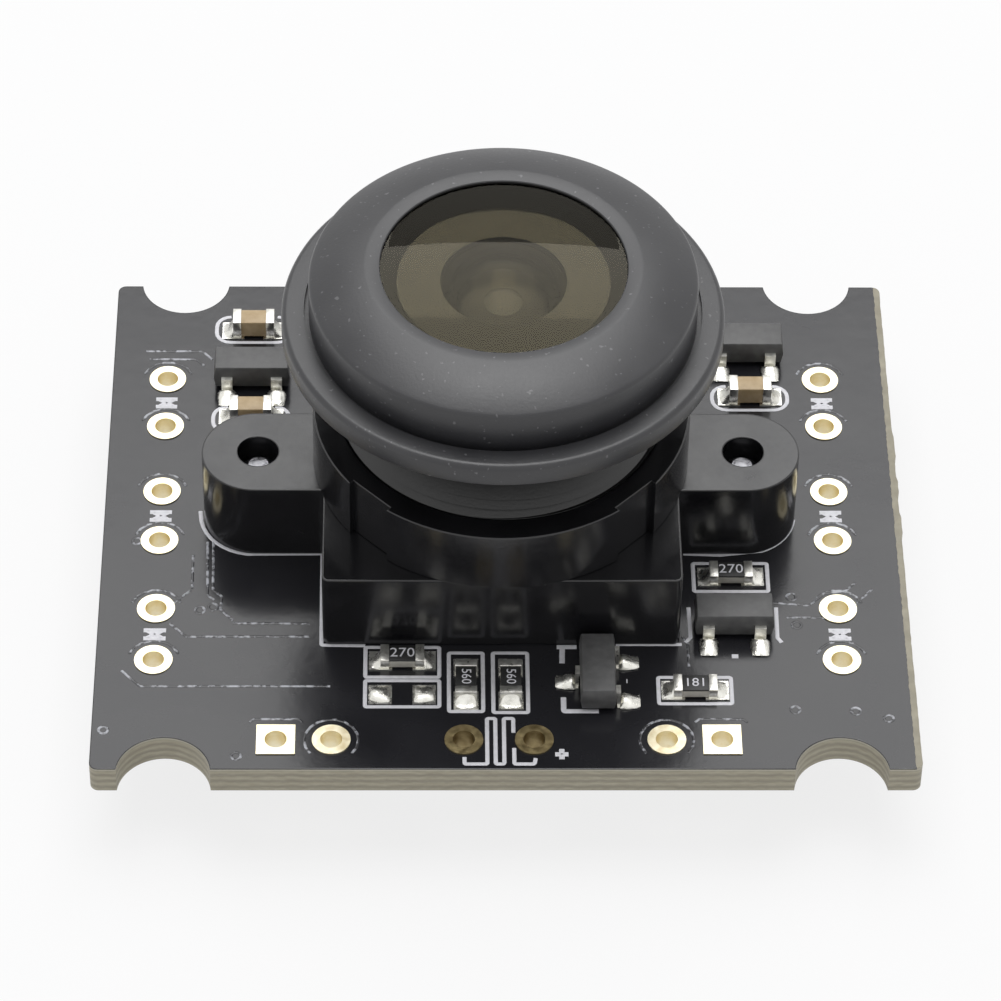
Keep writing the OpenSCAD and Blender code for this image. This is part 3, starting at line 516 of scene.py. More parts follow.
# %% Lens barrel
flange_r = (lens_high.x - lens_low.x) / mm / 2
neck_low, head_top = (lens_low.z - face) / mm, (lens_high.z - face) / mm
holder_top = (holder_high.z - face) / mm
glass_edge = head_top - 0.20
thread_r, root_r, head_r, lip_r, opening_r = 5.97, 5.7, 7.0, 4.9, 4.44
flange_top, flange_low, wall_top = head_top - 2.25, head_top - 3.15, head_top - 0.75
seat_r, stack_r, rear_lip_r, rear_bore_r = 4.9, 3.8, 3.0, 3.9
rear_lip_low, rear_lip_high = neck_low + 1.85, neck_low + 2.45
groove, seat = 0.18, glass_edge - 1.35


def crown(curve=6.4, edge=0.2):
    """The shoulder's rounding and the curve that rises from it to the lip."""
    half = Vector((head_r - lip_r, wall_top - head_top)) / 2
    drop = math.sqrt(curve ** 2 - half.length_squared) / half.length
    middle_of_curve = Vector((lip_r, head_top)) + half + Vector((half.y, -half.x)) * drop
    across = head_r - edge - middle_of_curve.x
    shoulder = middle_of_curve + Vector((across, math.sqrt((curve - edge) ** 2 - across ** 2)))
    low = math.degrees(math.atan2(shoulder.y - middle_of_curve.y, across))
    high = math.degrees(math.atan2(head_top - middle_of_curve.y, lip_r - middle_of_curve.x))
    return arc(*shoulder, edge, 0, low, 6) + arc(*middle_of_curve, curve, low, high, 18)[1:]


def barrel_profile():
    outer = [(thread_r, neck_low), (thread_r, holder_top), (root_r, holder_top), (root_r, flange_low)]
    outer += arc(flange_r - 0.06, flange_low + 0.06, 0.06, -90, 0, 3)
    outer += arc(flange_r - 0.22, flange_top - 0.22, 0.22, 0, 90, 6)
    outer += [(head_r + groove, flange_top), (head_r + groove, flange_top - groove),
              (head_r, flange_top - groove)]
    outer += crown()
    inner = [(opening_r + 0.03, head_top - 0.085), (opening_r, head_top - 0.12),
             (opening_r, glass_edge), (seat_r, glass_edge), (seat_r, seat)]
    inner += [(stack_r, seat), (stack_r, rear_lip_high), (rear_lip_r, rear_lip_high),
              (rear_lip_r, rear_lip_low), (rear_bore_r, rear_lip_low), (rear_bore_r, neck_low)]
    return outer + inner


barrel = as_piece("turned_barrel", *turned(barrel_profile()), anodised, "anodised_aluminium",
                  ["lens_barrel"])

# %% [markdown]
# ### The glass
# The front element is a weak lens with a deep hollow behind it, and the second element has a dome
# that looks into the hollow. Their curved faces bend and mirror the lamps, which is what draws the
# rings and small lights in the middle of a real lens, so both are turned finely and left clear.

# %% Front and second element
def sphere_arc(r_curve, r_edge, z_edge, outward, steps=28):
    """Points of a dome from its edge to the axis, or back."""
    rise = math.sqrt(r_curve ** 2 - r_edge ** 2)
    pts = []
    for i in range(steps + 1):
        r = r_edge * (1 - i / steps)
        pts.append((r, z_edge - rise + math.sqrt(r_curve ** 2 - r * r)))
    return pts[::-1] if outward else pts


front_r, cap_r, cap_curve, hollow_r, hollow_curve = 4.87, 4.41, 60, 2.25, 3
front = [(hollow_r, seat), (front_r, seat), (front_r, glass_edge), (cap_r, glass_edge)]
front += sphere_arc(cap_curve, cap_r, glass_edge, False)[1:]
front += sphere_arc(hollow_curve, hollow_r, seat, True)[:-1]
front_glass = as_piece("front_glass", *turned(front), coated_glass, "coated_glass",
                       ["front_element"], sharp=25)

second_top, second_low, second_r, dome_r, dome_curve = seat - 1.0, seat - 2.2, 3.77, 2.2, 6
second = [(0, second_low), (second_r, second_low), (second_r, second_top), (dome_r, second_top)]
second += sphere_arc(dome_curve, dome_r, second_top, False)[1:]
second_glass = as_piece("second_glass", *turned(second), clear_glass, "clear_glass",
                        ["second_element"], sharp=25)

# %% [markdown]
# ### The lens holder
# One black moulding: a square base with an ear on each side for a screw, and a round barrel on top
# with four shallow flats on its diagonals. It is cut here as two plates, one on the other, so that
# each keeps its own fine rounding. The barrel's underside overhangs the base a little in front.

# %% Holder
ear_x = (holder_high.x - holder_low.x) / mm / 2


def holder_outline():
    half, ear_r, r = 6.55, 2.0, 0.25
    pts = []
    for turn in (0, 90, 180, 270):
        quarter = arc(half - r, half - r, r, 0, 90, 4)
        if turn in (0, 180):
            ear = [(half, -ear_r)] + arc(ear_x - ear_r, 0, ear_r, -90, 90, 32) + [(half, ear_r)]
            quarter = ear + quarter
        a = math.radians(turn)
        pts += [(x * math.cos(a) - y * math.sin(a), x * math.sin(a) + y * math.cos(a))
                for x, y in quarter]
    return pts


def hole(x, y, r, steps=40):
    """A clockwise circle, so that the material lies on its left."""
    return arc(x, y, r, 360, 360 / steps, steps - 1)


tube_r, flat_cut, flat_half, bore_r = 6.95, 0.27, 0.95, 6.0
base_h, ear_hole_x, ear_hole_r, soft_edge = 3.45, 9, 0.75, 0.05


def barrel_outline():
    pts = []
    flat_at = tube_r - flat_cut
    half_flat = math.degrees(math.atan2(flat_half, flat_at))
    corner = math.degrees(math.asin(flat_half / tube_r))
    for turn in (0, 90, 180, 270):
        pts += arc(0, 0, tube_r, turn - 45 + corner, turn + 45 - corner, 24)
        for side in (-1, 1):
            a = math.radians(turn + 45 + side * half_flat)
            r = math.hypot(flat_at, flat_half)
            pts.append((r * math.cos(a), r * math.sin(a)))
    return pts


ear_holes = [hole(side * ear_hole_x, 0, ear_hole_r) for side in (-1, 1)]
bore = hole(0, 0, bore_r, 128)
base = slab([holder_outline(), *ear_holes, bore], 0.0, base_h, soft_edge, on_axis)
tube = slab([barrel_outline(), bore], base_h - 0.002, holder_top, soft_edge, on_axis)
joined = (base[0] + tube[0], base[1] + [[i + len(base[0]) for i in f] for f in tube[1]])
holder = as_piece("moulded_holder", *joined, holder_black, "holder_plastic", ["lens_holder"])

# %% [markdown]
# ### The board
# The outline has four half-round notches for the mounting screws. Its right edge was snapped, so it
# wanders by a few hundredths of a millimetre and has small nibs. Every drilled hole is in the
# plate too, since the plating's wall shows inside it.

# %% Board
notch_x, notch_y, notch_r = 12.2, board_d / 2 + 0.2, 1.7


def ragged_edge(top):
    """Points up or down the snapped edge."""
    dice = random.Random(7)
    pts = []
    steps = 90
    for i in range(1, steps):
        y = -board_d / 2 + 0.5 + (board_d - 1.0) * i / steps
        nib = 0.05 if -0.9 < y < 0.2 or 1.2 < y < 2.0 or 3.0 < y < 4.4 else 0.0
        pts.append((board_w / 2 - 0.055 + nib - dice.random() * 0.02, y))
    return pts if top else pts[::-1]


def board_outline():
    half_w, half_d, r = board_w / 2, board_d / 2, 0.3
    dip = math.degrees(math.asin(0.2 / notch_r))
    pts = []
    for side in (-1, 1):
        pts += arc(axis_x + side * notch_x, -notch_y, notch_r, 180 - dip, dip, 28)
    pts += arc(half_w - r - 0.05, -half_d + r, r, -90, 0, 5) + ragged_edge(True)
    pts += arc(half_w - r - 0.05, half_d - r, r, 0, 90, 5)
    for side in (1, -1):
        pts += arc(axis_x + side * notch_x, notch_y, notch_r, -dip, -180 + dip, 28)
    pts += arc(-half_w + r, half_d - r, r, 90, 180, 5)
    pts += arc(-half_w + r, -half_d + r, r, 180, 270, 5)
    return pts


def ring_middles(node):
    """Each loose ring's middle, from the box of its connected points."""
    copy = bmesh.new()
    copy.from_mesh(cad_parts[node].data)
    bmesh.ops.remove_doubles(copy, verts=copy.verts, dist=1e-7)
    left, found = set(copy.verts), []
    while left:
        island, edge_on = [], [left.pop()]
        while edge_on:
            v = edge_on.pop()
            island.append(v.co.copy())
            for e in v.link_edges:
                w = e.other_vert(v)
                if w in left:
                    left.remove(w)
                    edge_on.append(w)
        low = [min(c[i] for c in island) for i in range(3)]
        high = [max(c[i] for c in island) for i in range(3)]
        found.append((((Vector(low) + Vector(high)) / 2) - on_board(0, 0)) / mm)
    copy.free()
    return sorted(found, key=lambda p: (round(p.x, 2), round(p.y, 2)))


led_middles = ring_middles("led_holes")
wire_middles = ring_middles("wire_holes")
sensor_middles = ring_middles("light_sensor_holes")
print("holes:", len(led_middles), len(wire_middles), len(sensor_middles))

drill_r, screw_hole_r = 0.45, 0.9
drilled = [hole(p.x, p.y, drill_r, 20) for p in led_middles + wire_middles + sensor_middles]
drilled += [hole(axis_x + side * ear_hole_x, axis_y, screw_hole_r, 24) for side in (-1, 1)]
board = as_piece("routed_board",
                 *slab([board_outline()] + drilled, -board_t, 0.0, 0.03, on_board, 2),
                 lacquer, "board_lacquer", ["circuit_board"])

# %% [markdown]
# ## Lines that follow a path
# Printed outlines, copper tracks under the lacquer and the lens thread are all one idea: a small
# cross-section swept along a path. Geometry Nodes does that. The tree turns edges into curves,
# rounds their corners, sweeps a flat oval along them, realises the result and gives it a material.
# The path is plain points, so a line is moved by changing a number.

# %% A tree that sweeps a flat oval along edges
def new_tree(name, inputs):
    """A Geometry Nodes tree with named inputs; returns the tree and its input wires."""
    group = bpy.data.node_groups.new(name, "GeometryNodeTree")
    group.interface.new_socket("Geometry", in_out="INPUT", socket_type="NodeSocketGeometry")
    for label, kind in inputs.items():
        group.interface.new_socket(label, in_out="INPUT", socket_type="NodeSocket" + kind)
    group.interface.new_socket("Geometry", in_out="OUTPUT", socket_type="NodeSocketGeometry")
    tree = Tree(group)
    entry = tree.node("NodeGroupInput")
    return tree, entry


def finish_tree(tree, geometry_wire, material_wire):
    """Every tree ends by realising its instances and setting the material."""
    real = tree.node("GeometryNodeRealizeInstances", {}, Geometry=geometry_wire)
    dressed = tree.node("GeometryNodeSetMaterial", {}, Geometry=real, Material=material_wire)
    tree.node("NodeGroupOutput", {}, Geometry=dressed)
    return tree.tree


def sweep_tree():
    tree, entry = new_tree("oval_along_edges", {"Width": "Float", "Height": "Float",
                                                "Corner": "Float", "Finish": "Material"})
    path = tree.node("GeometryNodeMeshToCurve", {}, Mesh=entry.out("Geometry"))
    path = tree.node("GeometryNodeFilletCurve", {"mode": "POLY"}, Curve=path, Count=4,
                     Radius=entry.out("Corner"), Limit_Radius=True)
    path = tree.node("GeometryNodeSetCurveNormal", {"mode": "Z_UP"}, Curve=path)
    oval = tree.node("GeometryNodeCurvePrimitiveCircle", {"mode": "RADIUS"}, Resolution=10, Radius=0.5)
    size = tree.node("ShaderNodeCombineXYZ", {}, X=entry.out("Width"), Y=entry.out("Height"), Z=1.0)
    oval = tree.node("GeometryNodeTransform", {}, Geometry=oval, Scale=size)
    swept = tree.node("GeometryNodeCurveToMesh", {}, Curve=path, Profile_Curve=oval, Fill_Caps=True)
    return finish_tree(tree, swept, entry.out("Finish"))


def grown(name, source, group, values, sharp=50):
    """Runs a tree on a source mesh and keeps the result as a plain piece."""
    holder_of_tree = shown(name + "_source", source)
    modifier = holder_of_tree.modifiers.new("grow", "NODES")
    modifier.node_group = group
    for item in group.interface.items_tree:
        if item.in_out == "INPUT" and item.name in values:
            modifier[item.identifier] = values[item.name]
    graph = bpy.context.evaluated_depsgraph_get()
    mesh = bpy.data.meshes.new_from_object(holder_of_tree.evaluated_get(graph))
    bpy.data.objects.remove(holder_of_tree)
    mesh.name = name
    smoothed(mesh, sharp)
    return kept(name, mesh)


def paths(name, lines, z):
    """Polylines in millimetres from the board's middle as loose edges; a closed one repeats its start."""
    verts, edges = [], []
    for line in lines:
        closed = line[0] == line[-1]
        pts = line[:-1] if closed else line
        first = len(verts)
        verts += [on_board(x, y, z) for x, y in pts]
        edges += [(first + i, first + i + 1) for i in range(len(pts) - 1)]
        if closed:
            edges.append((first + len(pts) - 1, first))
    mesh = bpy.data.meshes.new(name)
    mesh.from_pydata([tuple(v) for v in verts], edges, [])
    return mesh


sweep = sweep_tree()
print("made the tree", sweep.name)

# %% [markdown]
# ### The printed outlines
# Each small part has an outline, so that a person can place it by hand: boxes round the chips, round
# brackets round the capacitors, hooks and a dot for pin one, a diode sign between the two leads of
# each light, a zigzag for the light sensor and a plus at its positive lead. The holder's own
# outline runs round its base and ears.

# %% Outlines
def box_line(x1, y1, x2, y2):
    return [(x1, y1), (x2, y1), (x2, y2), (x1, y2), (x1, y1)]


def round_line(x1, y1, x2, y2, r):
    """A box with round ends, drawn as two brackets that leave the long sides open at the back."""
    pts = arc(x1 + r, y2 - r, r, 90, 180, 5) + arc(x1 + r, y1 + r, r, 180, 270, 5)
    pts += arc(x2 - r, y1 + r, r, -90, 0, 5) + arc(x2 - r, y2 - r, r, 0, 90, 5)
    return pts


left_x, left_y = middle("resistor_left")[:2]
right_x, right_y = middle("resistor_right")[:2]
front_x, front_y = middle("resistor_front")[:2]
up1_x, up1_y = middle("resistor_upright_1")[:2]
up2_x, up2_y = middle("resistor_upright_2")[:2]
pin_x, pin_y = middle("transistor_upright")[:2]
sot_x, sot_y = middle("transistor_front")[:2]
cap_b, cap_l, cap_r = [middle(n) for n in ("capacitor_back", "capacitor_left", "capacitor_right")]

outlines = [
    box_line(left_x - 1.35, left_y - 0.78, left_x + 1.35, left_y + 0.68),
    box_line(left_x - 1.35, left_y - 2.22, left_x + 1.35, left_y - 0.95),
    box_line(right_x - 1.38, right_y - 0.71, right_x + 1.38, right_y + 0.71),
    box_line(front_x - 1.33, front_y - 0.62, front_x + 1.33, front_y + 0.66),
    box_line(up1_x - 0.62, up1_y - 1.30, up1_x + 0.62, up1_y + 1.55),
    box_line(up2_x - 0.64, up2_y - 1.35, up2_x + 0.62, up2_y + 1.55),
    [(pin_x + 3.15, pin_y + 1.88), (pin_x + 0.72, pin_y + 1.88)],
    [(-11.4, 0.25)] + arc(-9.3, 0.1, 2.08, 190, 262, 8)
    + [(-6.78, -1.94), (-6.75, -6.53), (-5.14, -6.56)],
    [(6.69, -1.93), (8.05, -2.0)] + arc(8.86, 0.12, 2.06, -68, -8, 8),
    [(sot_x - 1.62, sot_y + 0.9), (sot_x - 1.6, sot_y - 0.6), (sot_x - 1.8, sot_y - 0.85)],
    [(sot_x + 1.62, sot_y + 0.9), (sot_x + 1.6, sot_y - 0.6), (sot_x + 1.75, sot_y - 0.85)],
    [(-1.53, -11.95), (-1.53, -12.27), (-0.71, -12.27), (-0.71, -10.1), (-0.41, -10.1),
     (-0.41, -12.27), (-0.1, -12.27), (-0.1, -10.1), (0.24, -10.1), (0.24, -10.79)],
    [(0.26, -11.52), (0.26, -12.27), (0.98, -12.27), (1.03, -12.0)],
    round_line(cap_b.x - 1.45, cap_b.y - 0.62, cap_b.x + 1.45, cap_b.y + 0.8, 0.55),
    round_line(cap_l.x - 1.45, cap_l.y - 0.75, cap_l.x + 1.45, cap_l.y + 0.6, 0.55),
    round_line(cap_r.x - 1.45, cap_r.y - 0.67, cap_r.x + 1.45, cap_r.y + 0.62, 0.55),
]
thin_ink = grown("printed_outlines", paths("outlines", outlines, 0.006), sweep,
                 {"Width": 0.15 * mm, "Height": 0.03 * mm, "Corner": 0.06 * mm, "Finish": ink})

# %% Signs
def diode_sign(x, y):
    """Two bars with a cross between them."""
    return [[(x - 0.41, y + 0.20), (x + 0.41, y + 0.20)], [(x - 0.41, y - 0.20), (x + 0.41, y - 0.20)],
            [(x - 0.26, y + 0.18), (x + 0.26, y - 0.18)], [(x - 0.26, y - 0.18), (x + 0.26, y + 0.18)]]


signs = [[(1.97, -12.05), (1.97, -11.57)], [(1.73, -11.81), (2.21, -11.81)],
         [(pin_x - 1.45, pin_y + 1.75), (pin_x - 0.72, pin_y + 1.75)],
         [(pin_x - 1.25, pin_y + 1.7), (pin_x - 1.27, pin_y + 0.95)],
         [(pin_x - 1.25, pin_y - 0.72), (pin_x - 1.25, pin_y - 1.38), (pin_x + 0.02, pin_y - 1.38)],
         [(pin_x + 1.06, pin_y + 0.08), (pin_x + 1.10, pin_y + 0.08)],
         [(sot_x - 0.12, sot_y - 1.52), (sot_x + 0.12, sot_y - 1.52)]]
for i in range(0, len(led_middles), 2):
    low, high = led_middles[i], led_middles[i + 1]
    signs += diode_sign((low.x + high.x) / 2, (low.y + high.y) / 2)
thick_ink = grown("printed_signs", paths("signs", signs, 0.006), sweep,
                  {"Width": 0.2 * mm, "Height": 0.034 * mm, "Corner": 0.05 * mm, "Finish": ink})

# %% [markdown]
# ### Tracks and vias under the lacquer
# Copper is 0.035 mm thick. Under lacquer it shows only as low ridges that catch the light on their
# shoulders: tracks that leave the holes, the rim of the copper round the wire holes, and the rings
# of the vias. The same tree makes them, with a narrower oval and a finish with painted glints in patches.

# %% Tracks
def ring_line(x, y, r, start=0, end=360):
    pts = [tuple(round(v, 4) for v in p) for p in arc(x, y, r, start, end, max(4, (end - start) // 20))]
    return pts[:-1] + [pts[0]] if end - start == 360 else pts


tracks = [
    [(-14.02, -7.78), (-13.33, -8.54), (-6.4, -8.54)],
    [(-12.35, -5.45), (-11.72, -6.11), (-7.2, -6.10)],
    [(-10.03, -5.44), (-7.2, -5.46)],
    [(-12.40, -4.60), (-11.62, -3.78)],
    [(-11.08, -1.33), (-11.0, -4.03), (-10.75, -4.28)],
    [(-10.86, -1.33), (-10.81, -3.78), (-10.47, -4.10), (-10.50, -4.75), (-10.03, -5.30)],
    [(-11.60, -2.0), (-11.58, -3.7)],
    [(-13.78, 8.84), (-11.59, 8.84), (-11.19, 8.38)],
    [(-13.63, 8.41), (-11.83, 8.38), (-11.5, 8.05)],
    [(10.4, -5.14), (11.85, -5.16)],
    [(9.25, -4.34), (11.26, -4.54), (11.85, -3.96), (12.67, -3.79), (13.06, -3.37)],
    [(12.9, -4.55), (13.66, -3.71)],
    [(6.5, -6.1), (6.7, -6.45), (6.7, -7.6)],
]
vias = [(10.49, -9.67), (12.68, -9.74), (13.86, -10.09), (10.62, -4.11), (10.76, -5.52),
        (-14.56, -10.65), (-9.74, -11.89), (-13.72, -1.28), (-10.78, -4.63), (-11.26, -4.78)]
rings = [ring_line(x, y, 0.17) for x, y in vias]
for p in wire_middles:
    if abs(p.x) < 7:
        rings.append(ring_line(p.x, p.y, 0.98, -40, 220))
    else:
        rings.append([(p.x - 0.95, p.y + 0.85), (p.x - 0.8, p.y + 1.0), (p.x + 0.8, p.y + 1.0),
                      (p.x + 0.95, p.y + 0.85)])
for p in led_middles:
    rings.append(ring_line(p.x, p.y, 0.95, 20, 160))
raised = grown("tracks_under_lacquer", paths("tracks", tracks + rings, 0.0), sweep,
               {"Width": 0.10 * mm, "Height": 0.035 * mm, "Corner": 0.12 * mm,
                "Finish": lifted_lacquer})

# %% [markdown]
# ### The lens thread
# A fine thread, half a millimetre a turn, runs down the neck into the holder. It is a real helix
# here: a spiral curve with a small triangle swept along it. The last turn runs out to nothing
# under the flange, where the cutting tool left the metal.

# %% Thread
def thread_tree():
    tree, entry = new_tree("thread", {"Root": "Float", "Turns": "Float", "Rise": "Float",
                                      "Depth": "Float", "Foot": "Float", "Finish": "Material"})
    helix = tree.node("GeometryNodeCurveSpiral", {}, Resolution=96, Rotations=entry.out("Turns"),
                      Start_Radius=entry.out("Root"), End_Radius=entry.out("Root"),
                      Height=entry.out("Rise"))
    helix = tree.node("GeometryNodeSetCurveNormal", {"mode": "Z_UP"}, Curve=helix)
    along = tree.node("GeometryNodeSplineParameter")
    fade = tree.node("ShaderNodeMath", {"operation": "MULTIPLY", "use_clamp": True},
                     **{"0": tree.node("ShaderNodeMath", {"operation": "SUBTRACT"},
                                       **{"0": 1.0, "1": along}), "1": 8.0})
    helix = tree.node("GeometryNodeSetCurveRadius", {}, Curve=helix, Radius=fade)
    ridge = tree.node("GeometryNodeCurvePrimitiveCircle", {"mode": "RADIUS"}, Resolution=4, Radius=1.0)
    size = tree.node("ShaderNodeCombineXYZ", {}, X=entry.out("Depth"), Y=entry.out("Foot"), Z=1.0)
    ridge = tree.node("GeometryNodeTransform", {}, Geometry=ridge, Scale=size)
    swept = tree.node("GeometryNodeCurveToMesh", {}, Curve=helix, Profile_Curve=ridge, Fill_Caps=True)
    return finish_tree(tree, swept, entry.out("Finish"))


pitch, ridge_depth, ridge_foot = 0.5, 0.28, 0.235
thread_start, thread_end = holder_top - 0.15, holder_top + 2.5
point = bpy.data.meshes.new("thread_start")
point.from_pydata([(0, 0, 0)], [], [])
thread = grown("lens_thread", point, thread_tree(),
               {"Root": root_r * mm, "Turns": (thread_end - thread_start) / pitch,
                "Rise": (thread_end - thread_start) * mm, "Depth": ridge_depth * mm,
                "Foot": ridge_foot * mm, "Finish": anodised}, sharp=30)
thread.data.transform(Matrix.Translation(on_axis(0, 0, thread_start)))

# %% [markdown]
# ## The small parts
# The moulded and fired bodies are right in CAD but have knife edges. Real ones have a rounding of
# two or three hundredths of a millimetre, which a Bevel modifier adds to a merged copy. The copy
# then stands for its CAD node.

# %% Copies with softened edges
def softened(name, nodes, width, material, segments=2):
    """A merged copy of some CAD nodes with rounded edges."""
    shape = bmesh.new()
    for node in nodes:
        shape.from_mesh(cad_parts[node].data)
    bmesh.ops.remove_doubles(shape, verts=shape.verts, dist=1e-7)
    bmesh.ops.dissolve_limit(shape, angle_limit=math.radians(0.5), verts=shape.verts, edges=shape.edges)
    mesh = bpy.data.meshes.new(name)
    shape.to_mesh(mesh)
    shape.free()
    mesh.materials.clear()
    mesh.materials.append(material)
    for polygon in mesh.polygons:
        polygon.material_index = 0
    rough = shown(name + "_rough", mesh)
    bevel = rough.modifiers.new("edges", "BEVEL")
    bevel.width, bevel.segments, bevel.limit_method = width * mm, segments, "ANGLE"
    bevel.angle_limit, bevel.harden_normals = math.radians(25), False
    graph = bpy.context.evaluated_depsgraph_get()
    done = bpy.data.meshes.new_from_object(rough.evaluated_get(graph))
    bpy.data.objects.remove(rough)
    smoothed(done, 46)
    return kept(name, done, nodes)


def resistor_finish():
    """A black glaze on top of a white ceramic block."""
    f = Finish("glaze_on_ceramic")
    z = f.xyz.out("Z")
    cloud = f.noise(3.0, 3.0)
    top = (z + (cloud - 0.5) * (0.04 * mm)) > (face + 0.40 * mm)
    body = f.mix(cloud, (0.42, 0.40, 0.35), (0.62, 0.60, 0.55))
    colour = f.mix(top, body, (0.014, 0.014, 0.014))
    return f.show(Base_Color=colour, Roughness=(cloud * 0.3 + 0.3), Normal=f.bump(cloud, 0.01, 0.6))


glazed = resistor_finish()
resistors = [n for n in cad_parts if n.startswith("resistor_") and n != "resistor_ends"]
softened("resistor_blocks", sorted(resistors), 0.02, glazed)
softened("capacitor_blocks", ["capacitor_back", "capacitor_left", "capacitor_right"], 0.04, tan)
softened("chip_caps", ["resistor_ends", "capacitor_ends"], 0.015, tinned)
for node in ("transistor_left", "transistor_right", "transistor_upright", "transistor_front"):
    softened(node + "_body", [node], 0.035, epoxy)

# %% [markdown]
# ### Solder
# Solder wets the pad and climbs the end of the part, which leaves a hollow slope from the metal end
# down to the pad's edge. On a three-legged part it heaps up over each foot. On the two empty pads
# it sits as a flat drop. Each heap is a small grid whose height follows a formula, with a little
# seeded unevenness, because no two joints are alike.

# %% Solder heaps
def heap(verts, faces, at, turn, length, width, rise, dice, across=10, along=10):
    """A closed mound: at is the middle of its high end, turn is where it slopes to."""
    first = len(verts)
    side = Vector((-turn.y, turn.x))
    lean = dice.uniform(-0.08, 0.08)
    for i in range(along + 1):
        u = i / along
        half = width / 2 * (1 - 0.30 * u ** 3) * (1.0 if 0 < u < 1 else 0.92)
        for j in range(across + 1):
            v = 2 * j / across - 1
            z = rise(u) * (1 - abs(v) ** 3) * (1 + lean * v) + 0.02 * dice.random() * (1 - abs(v))
            p = at + turn * (u * length) + side * (v * half)
            verts.append(on_board(p.x, p.y, 0.045 + max(z, 0.0)))
    n = across + 1
    for i in range(along):
        for j in range(across):
            a = first + i * n + j
            faces.append([a, a + n, a + n + 1, a + 1])
    rim = [first + j for j in range(n)] + [first + i * n + across for i in range(1, along + 1)]
    rim += [first + along * n + j for j in reversed(range(across))]
    rim += [first + i * n for i in reversed(range(1, along))]
    low = len(verts)
    for i in rim:
        verts.append(Vector((verts[i].x, verts[i].y, face + 0.03 * mm)))
    for k in range(len(rim)):
        m = (k + 1) % len(rim)
        faces.append([rim[k], rim[m], low + m, low + k])
    faces.append([low + k for k in range(len(rim))])


dice = random.Random(11)
verts, faces = [], []
flat_chips = [("resistor_left", 0, 0.36), ("resistor_right", 0, 0.36), ("resistor_front", 0, 0.36),
              ("resistor_upright_1", 1, 0.36), ("resistor_upright_2", 1, 0.36),
              ("capacitor_back", 0, 0.5), ("capacitor_left", 0, 0.5), ("capacitor_right", 0, 0.5)]
for node, upright, rise in flat_chips:
    for sign in (-1, 1):
        turn = Vector((0, sign)) if upright else Vector((sign, 0))
        start = middle(node).xy + turn * 0.78
        heap(verts, faces, start, turn, 0.42, 0.86,
             lambda u, rise=rise: rise * (1 - u) ** 1.7 * dice.uniform(0.93, 1.0), dice)
for sign in (-1, 1):
    start = Vector((left_x + sign * 0.42, left_y - 1.62))
    heap(verts, faces, start, Vector((sign, 0)), 0.78, 0.86,
         lambda u: 0.16 * (1 - (2 * u - 1) ** 4), dice)
for node, quarter in (("transistor_left", 0), ("transistor_right", 0), ("transistor_front", 0),
                      ("transistor_upright", 1)):
    centre = middle(node).xy
    for along_x, out in ((-0.95, -1), (0.95, -1), (0.0, 1)):
        turn, spot = Vector((0, out)), Vector((along_x, out * 0.80))
        if quarter:
            turn, spot = Vector((-turn.y, turn.x)), Vector((-spot.y, spot.x))
        heap(verts, faces, centre + spot, turn, 0.74, 0.74,
             lambda u: 0.30 * (1 - u) ** 0.9 * min(1.0, 0.25 + u * 4.5) + 0.02, dice)
as_piece("solder_joints", verts, faces, solder, "solder", sharp=60)

# %% [markdown]
# ### Value digits
# A chip resistor is printed with three digits: two figures and a number of noughts. They are plain
# numbers. Text becomes a mesh, is laid on the glaze and is then one more piece.

# %% Digits
def digits(name, body, node, size, quarter=0):
    curve = bpy.data.curves.new(name, "FONT")
    curve.body, curve.size, curve.extrude = body, size * mm, 0.003 * mm
    curve.align_x, curve.align_y = "CENTER", "CENTER"
    curve.resolution_u = 3
    text = shown(name + "_text", curve)
    mesh = bpy.data.meshes.new_from_object(text.evaluated_get(bpy.context.evaluated_depsgraph_get()))
    bpy.data.objects.remove(text)
    p = middle(node)
    turn = Matrix.Rotation(math.radians(90 * quarter), 4, "Z")
    mesh.transform(Matrix.Translation(on_board(p.x, p.y, height(node) + 0.002)) @ turn)
    mesh.materials.clear()
    mesh.materials.append(ink)
    kept(name, mesh)


digits("digits_left", "270", "resistor_left", 0.62)
digits("digits_right", "270", "resistor_right", 0.62)
digits("digits_front", "181", "resistor_front", 0.56)
digits("digits_upright_1", "560", "resistor_upright_1", 0.5, 3)
digits("digits_upright_2", "560", "resistor_upright_2", 0.5, 3)

# %% [markdown]
# ### Finishes for the CAD pieces that stay
# The rest of the frame is right as it is: plated holes, pads, screws, spacers, the sensor and all of
# the underside. Each gets the finish of its real material.

# %% Dress the frame
dress = {
    gold: ["led_holes", "wire_holes", "usb_contacts"],
    gold_in_painted_shade: ["light_sensor_holes"],
    solder: ["face_pads", "underside_pads"],
    screw_steel: ["holder_screws"],
    matt_black: ["front_spacer", "aperture_stop", "rear_spacer"],
    clear_glass: ["third_element", "fourth_element", "sensor_window"],
    filter_glass: ["infrared_filter"],
    package: ["image_sensor"],
    silicon: ["sensor_chip"],
    tinned: ["transistor_legs", "video_chip_legs", "memory_chip_legs", "regulator_legs",
             "under_chip_ends", "crystal_leads", "usb_anchors"],
    epoxy: ["video_chip", "memory_chip", "regulator", "crystal_base"],
    tan: ["under_capacitors"],
    glaze: ["under_resistors"],
    nickel_can: ["crystal_can"],
    nylon: ["usb_socket"],
}
for material, nodes in dress.items():
    for node in nodes:
        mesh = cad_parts[node].data
        mesh.materials.clear()
        mesh.materials.append(material)
dressed = {n for nodes in dress.values() for n in nodes}
left_over = [n for n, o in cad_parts.items() if n not in dressed and not o.hide_render]
print("dressed", len(dressed), "nodes; without a finish:", left_over)

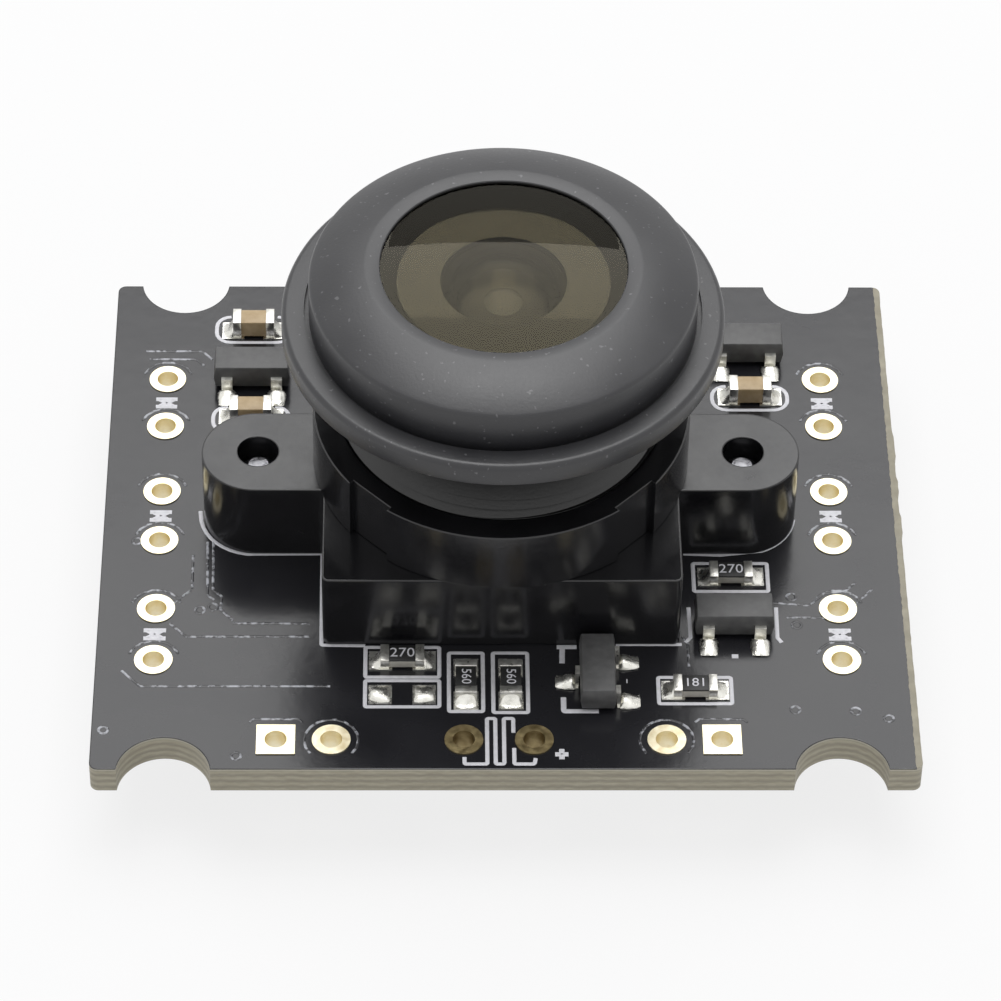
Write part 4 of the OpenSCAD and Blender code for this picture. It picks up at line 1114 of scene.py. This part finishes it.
# %% [markdown]
# ## The studio
# The object lies on a pale table. A broad soft lamp hangs level above it and reaches well behind it,
# where flat glossy faces mirror it into the camera: black lacquer is only ever seen by what it
# mirrors. Two narrow lamps overhead give the curved glass small highlights. The room is white.

# %% Table
def table_finish():
    f = Finish("pale_table")
    camera = f.node("ShaderNodeLightPath")
    seen = (camera.out("Is Camera Ray") + camera.out("Is Glossy Ray")
            + camera.out("Is Transmission Ray")).clamp()
    paper = f.node("ShaderNodeBsdfDiffuse", {}, Color=(0.86, 0.86, 0.87))
    glow = f.node("ShaderNodeEmission", {}, Color=(1.0, 1.0, 1.0), Strength=1.0)
    both = f.node("ShaderNodeMixShader", {}, **{"0": seen * 0.80, "1": paper, "2": glow})
    f.node("ShaderNodeOutputMaterial", {}, Surface=both)
    return f.material


table_mesh = bpy.data.meshes.new("table")
reach = 3.0
table_mesh.from_pydata([(-reach, -reach, 0), (reach, -reach, 0), (reach, reach, 0), (-reach, reach, 0)],
                       [], [(0, 1, 2, 3)])
table_mesh.materials.append(table_finish())
table = shown("table", table_mesh)
table.location.z = cad_box[0][2] - 0.02 * mm


# %% Lamps and room
def lamp(name, place, size, radiance, colour=(1, 1, 1)):
    """A rectangular lamp that faces straight down. Radiance is how bright its surface looks."""
    data = bpy.data.lights.new(name, "AREA")
    data.shape, data.size, data.size_y = "RECTANGLE", size[0], size[1]
    data.energy = radiance * math.pi * size[0] * size[1]
    data.color = colour
    made = shown(name, data)
    made.location = place
    print(name, "power, W:", round(data.energy, 2))


lamp("ceiling_softbox", (0.0, 0.19, 0.39), (0.34, 0.48), 2.4)
lamp("front_strip", (0.0, 0.02, 0.36), (0.12, 0.012), 9.0)
lamp("rear_strip", (0.0, 0.08, 0.36), (0.12, 0.012), 9.0)


def room():
    world = bpy.data.worlds.new("white_room")
    world.use_nodes = True
    bpy.context.scene.world = world
    tree = Tree(world.node_tree)
    path = tree.node("ShaderNodeLightPath")
    seen = (path.out("Is Camera Ray") + path.out("Is Glossy Ray")
            + path.out("Is Transmission Ray")).clamp()
    sky = tree.node("ShaderNodeBackground", {}, Color=(1.0, 1.0, 1.0), Strength=seen * 0.5 + 0.5)
    tree.node("ShaderNodeOutputWorld", {}, Surface=sky)


room()

# %% [markdown]
# ## The camera
# A long lens from the front, 46 degrees above the table, turned and tilted by about a degree as a
# hand-set tripod is. It looks at the middle of the board's face.

# %% Camera
def camera():
    turn, dip, roll = [math.radians(v) for v in (1.31771, 46.21516, 1.00204)]
    ahead = Vector((math.sin(turn) * math.cos(dip), math.cos(turn) * math.cos(dip), -math.sin(dip)))
    right = Vector((math.cos(turn), -math.sin(turn), 0))
    up = right.cross(ahead)
    right, up = (right * math.cos(roll) + up * math.sin(roll),
                 up * math.cos(roll) - right * math.sin(roll))
    data = bpy.data.cameras.new("camera")
    data.sensor_width, data.lens = 36.0, 175.71
    data.clip_start, data.clip_end = 0.01, 20.0
    made = shown("camera", data)
    place = on_board(-0.105, 0.830) - ahead * 184.387 * mm
    made.matrix_world = Matrix([(*[v[i] for v in (right, up, -ahead)], place[i]) for i in range(3)]
                               + [(0, 0, 0, 1)])
    bpy.context.scene.camera = made
    print("camera height above the table, mm:", round(place.z / mm, 1))


camera()
bpy.context.scene.view_settings.view_transform = "Standard"
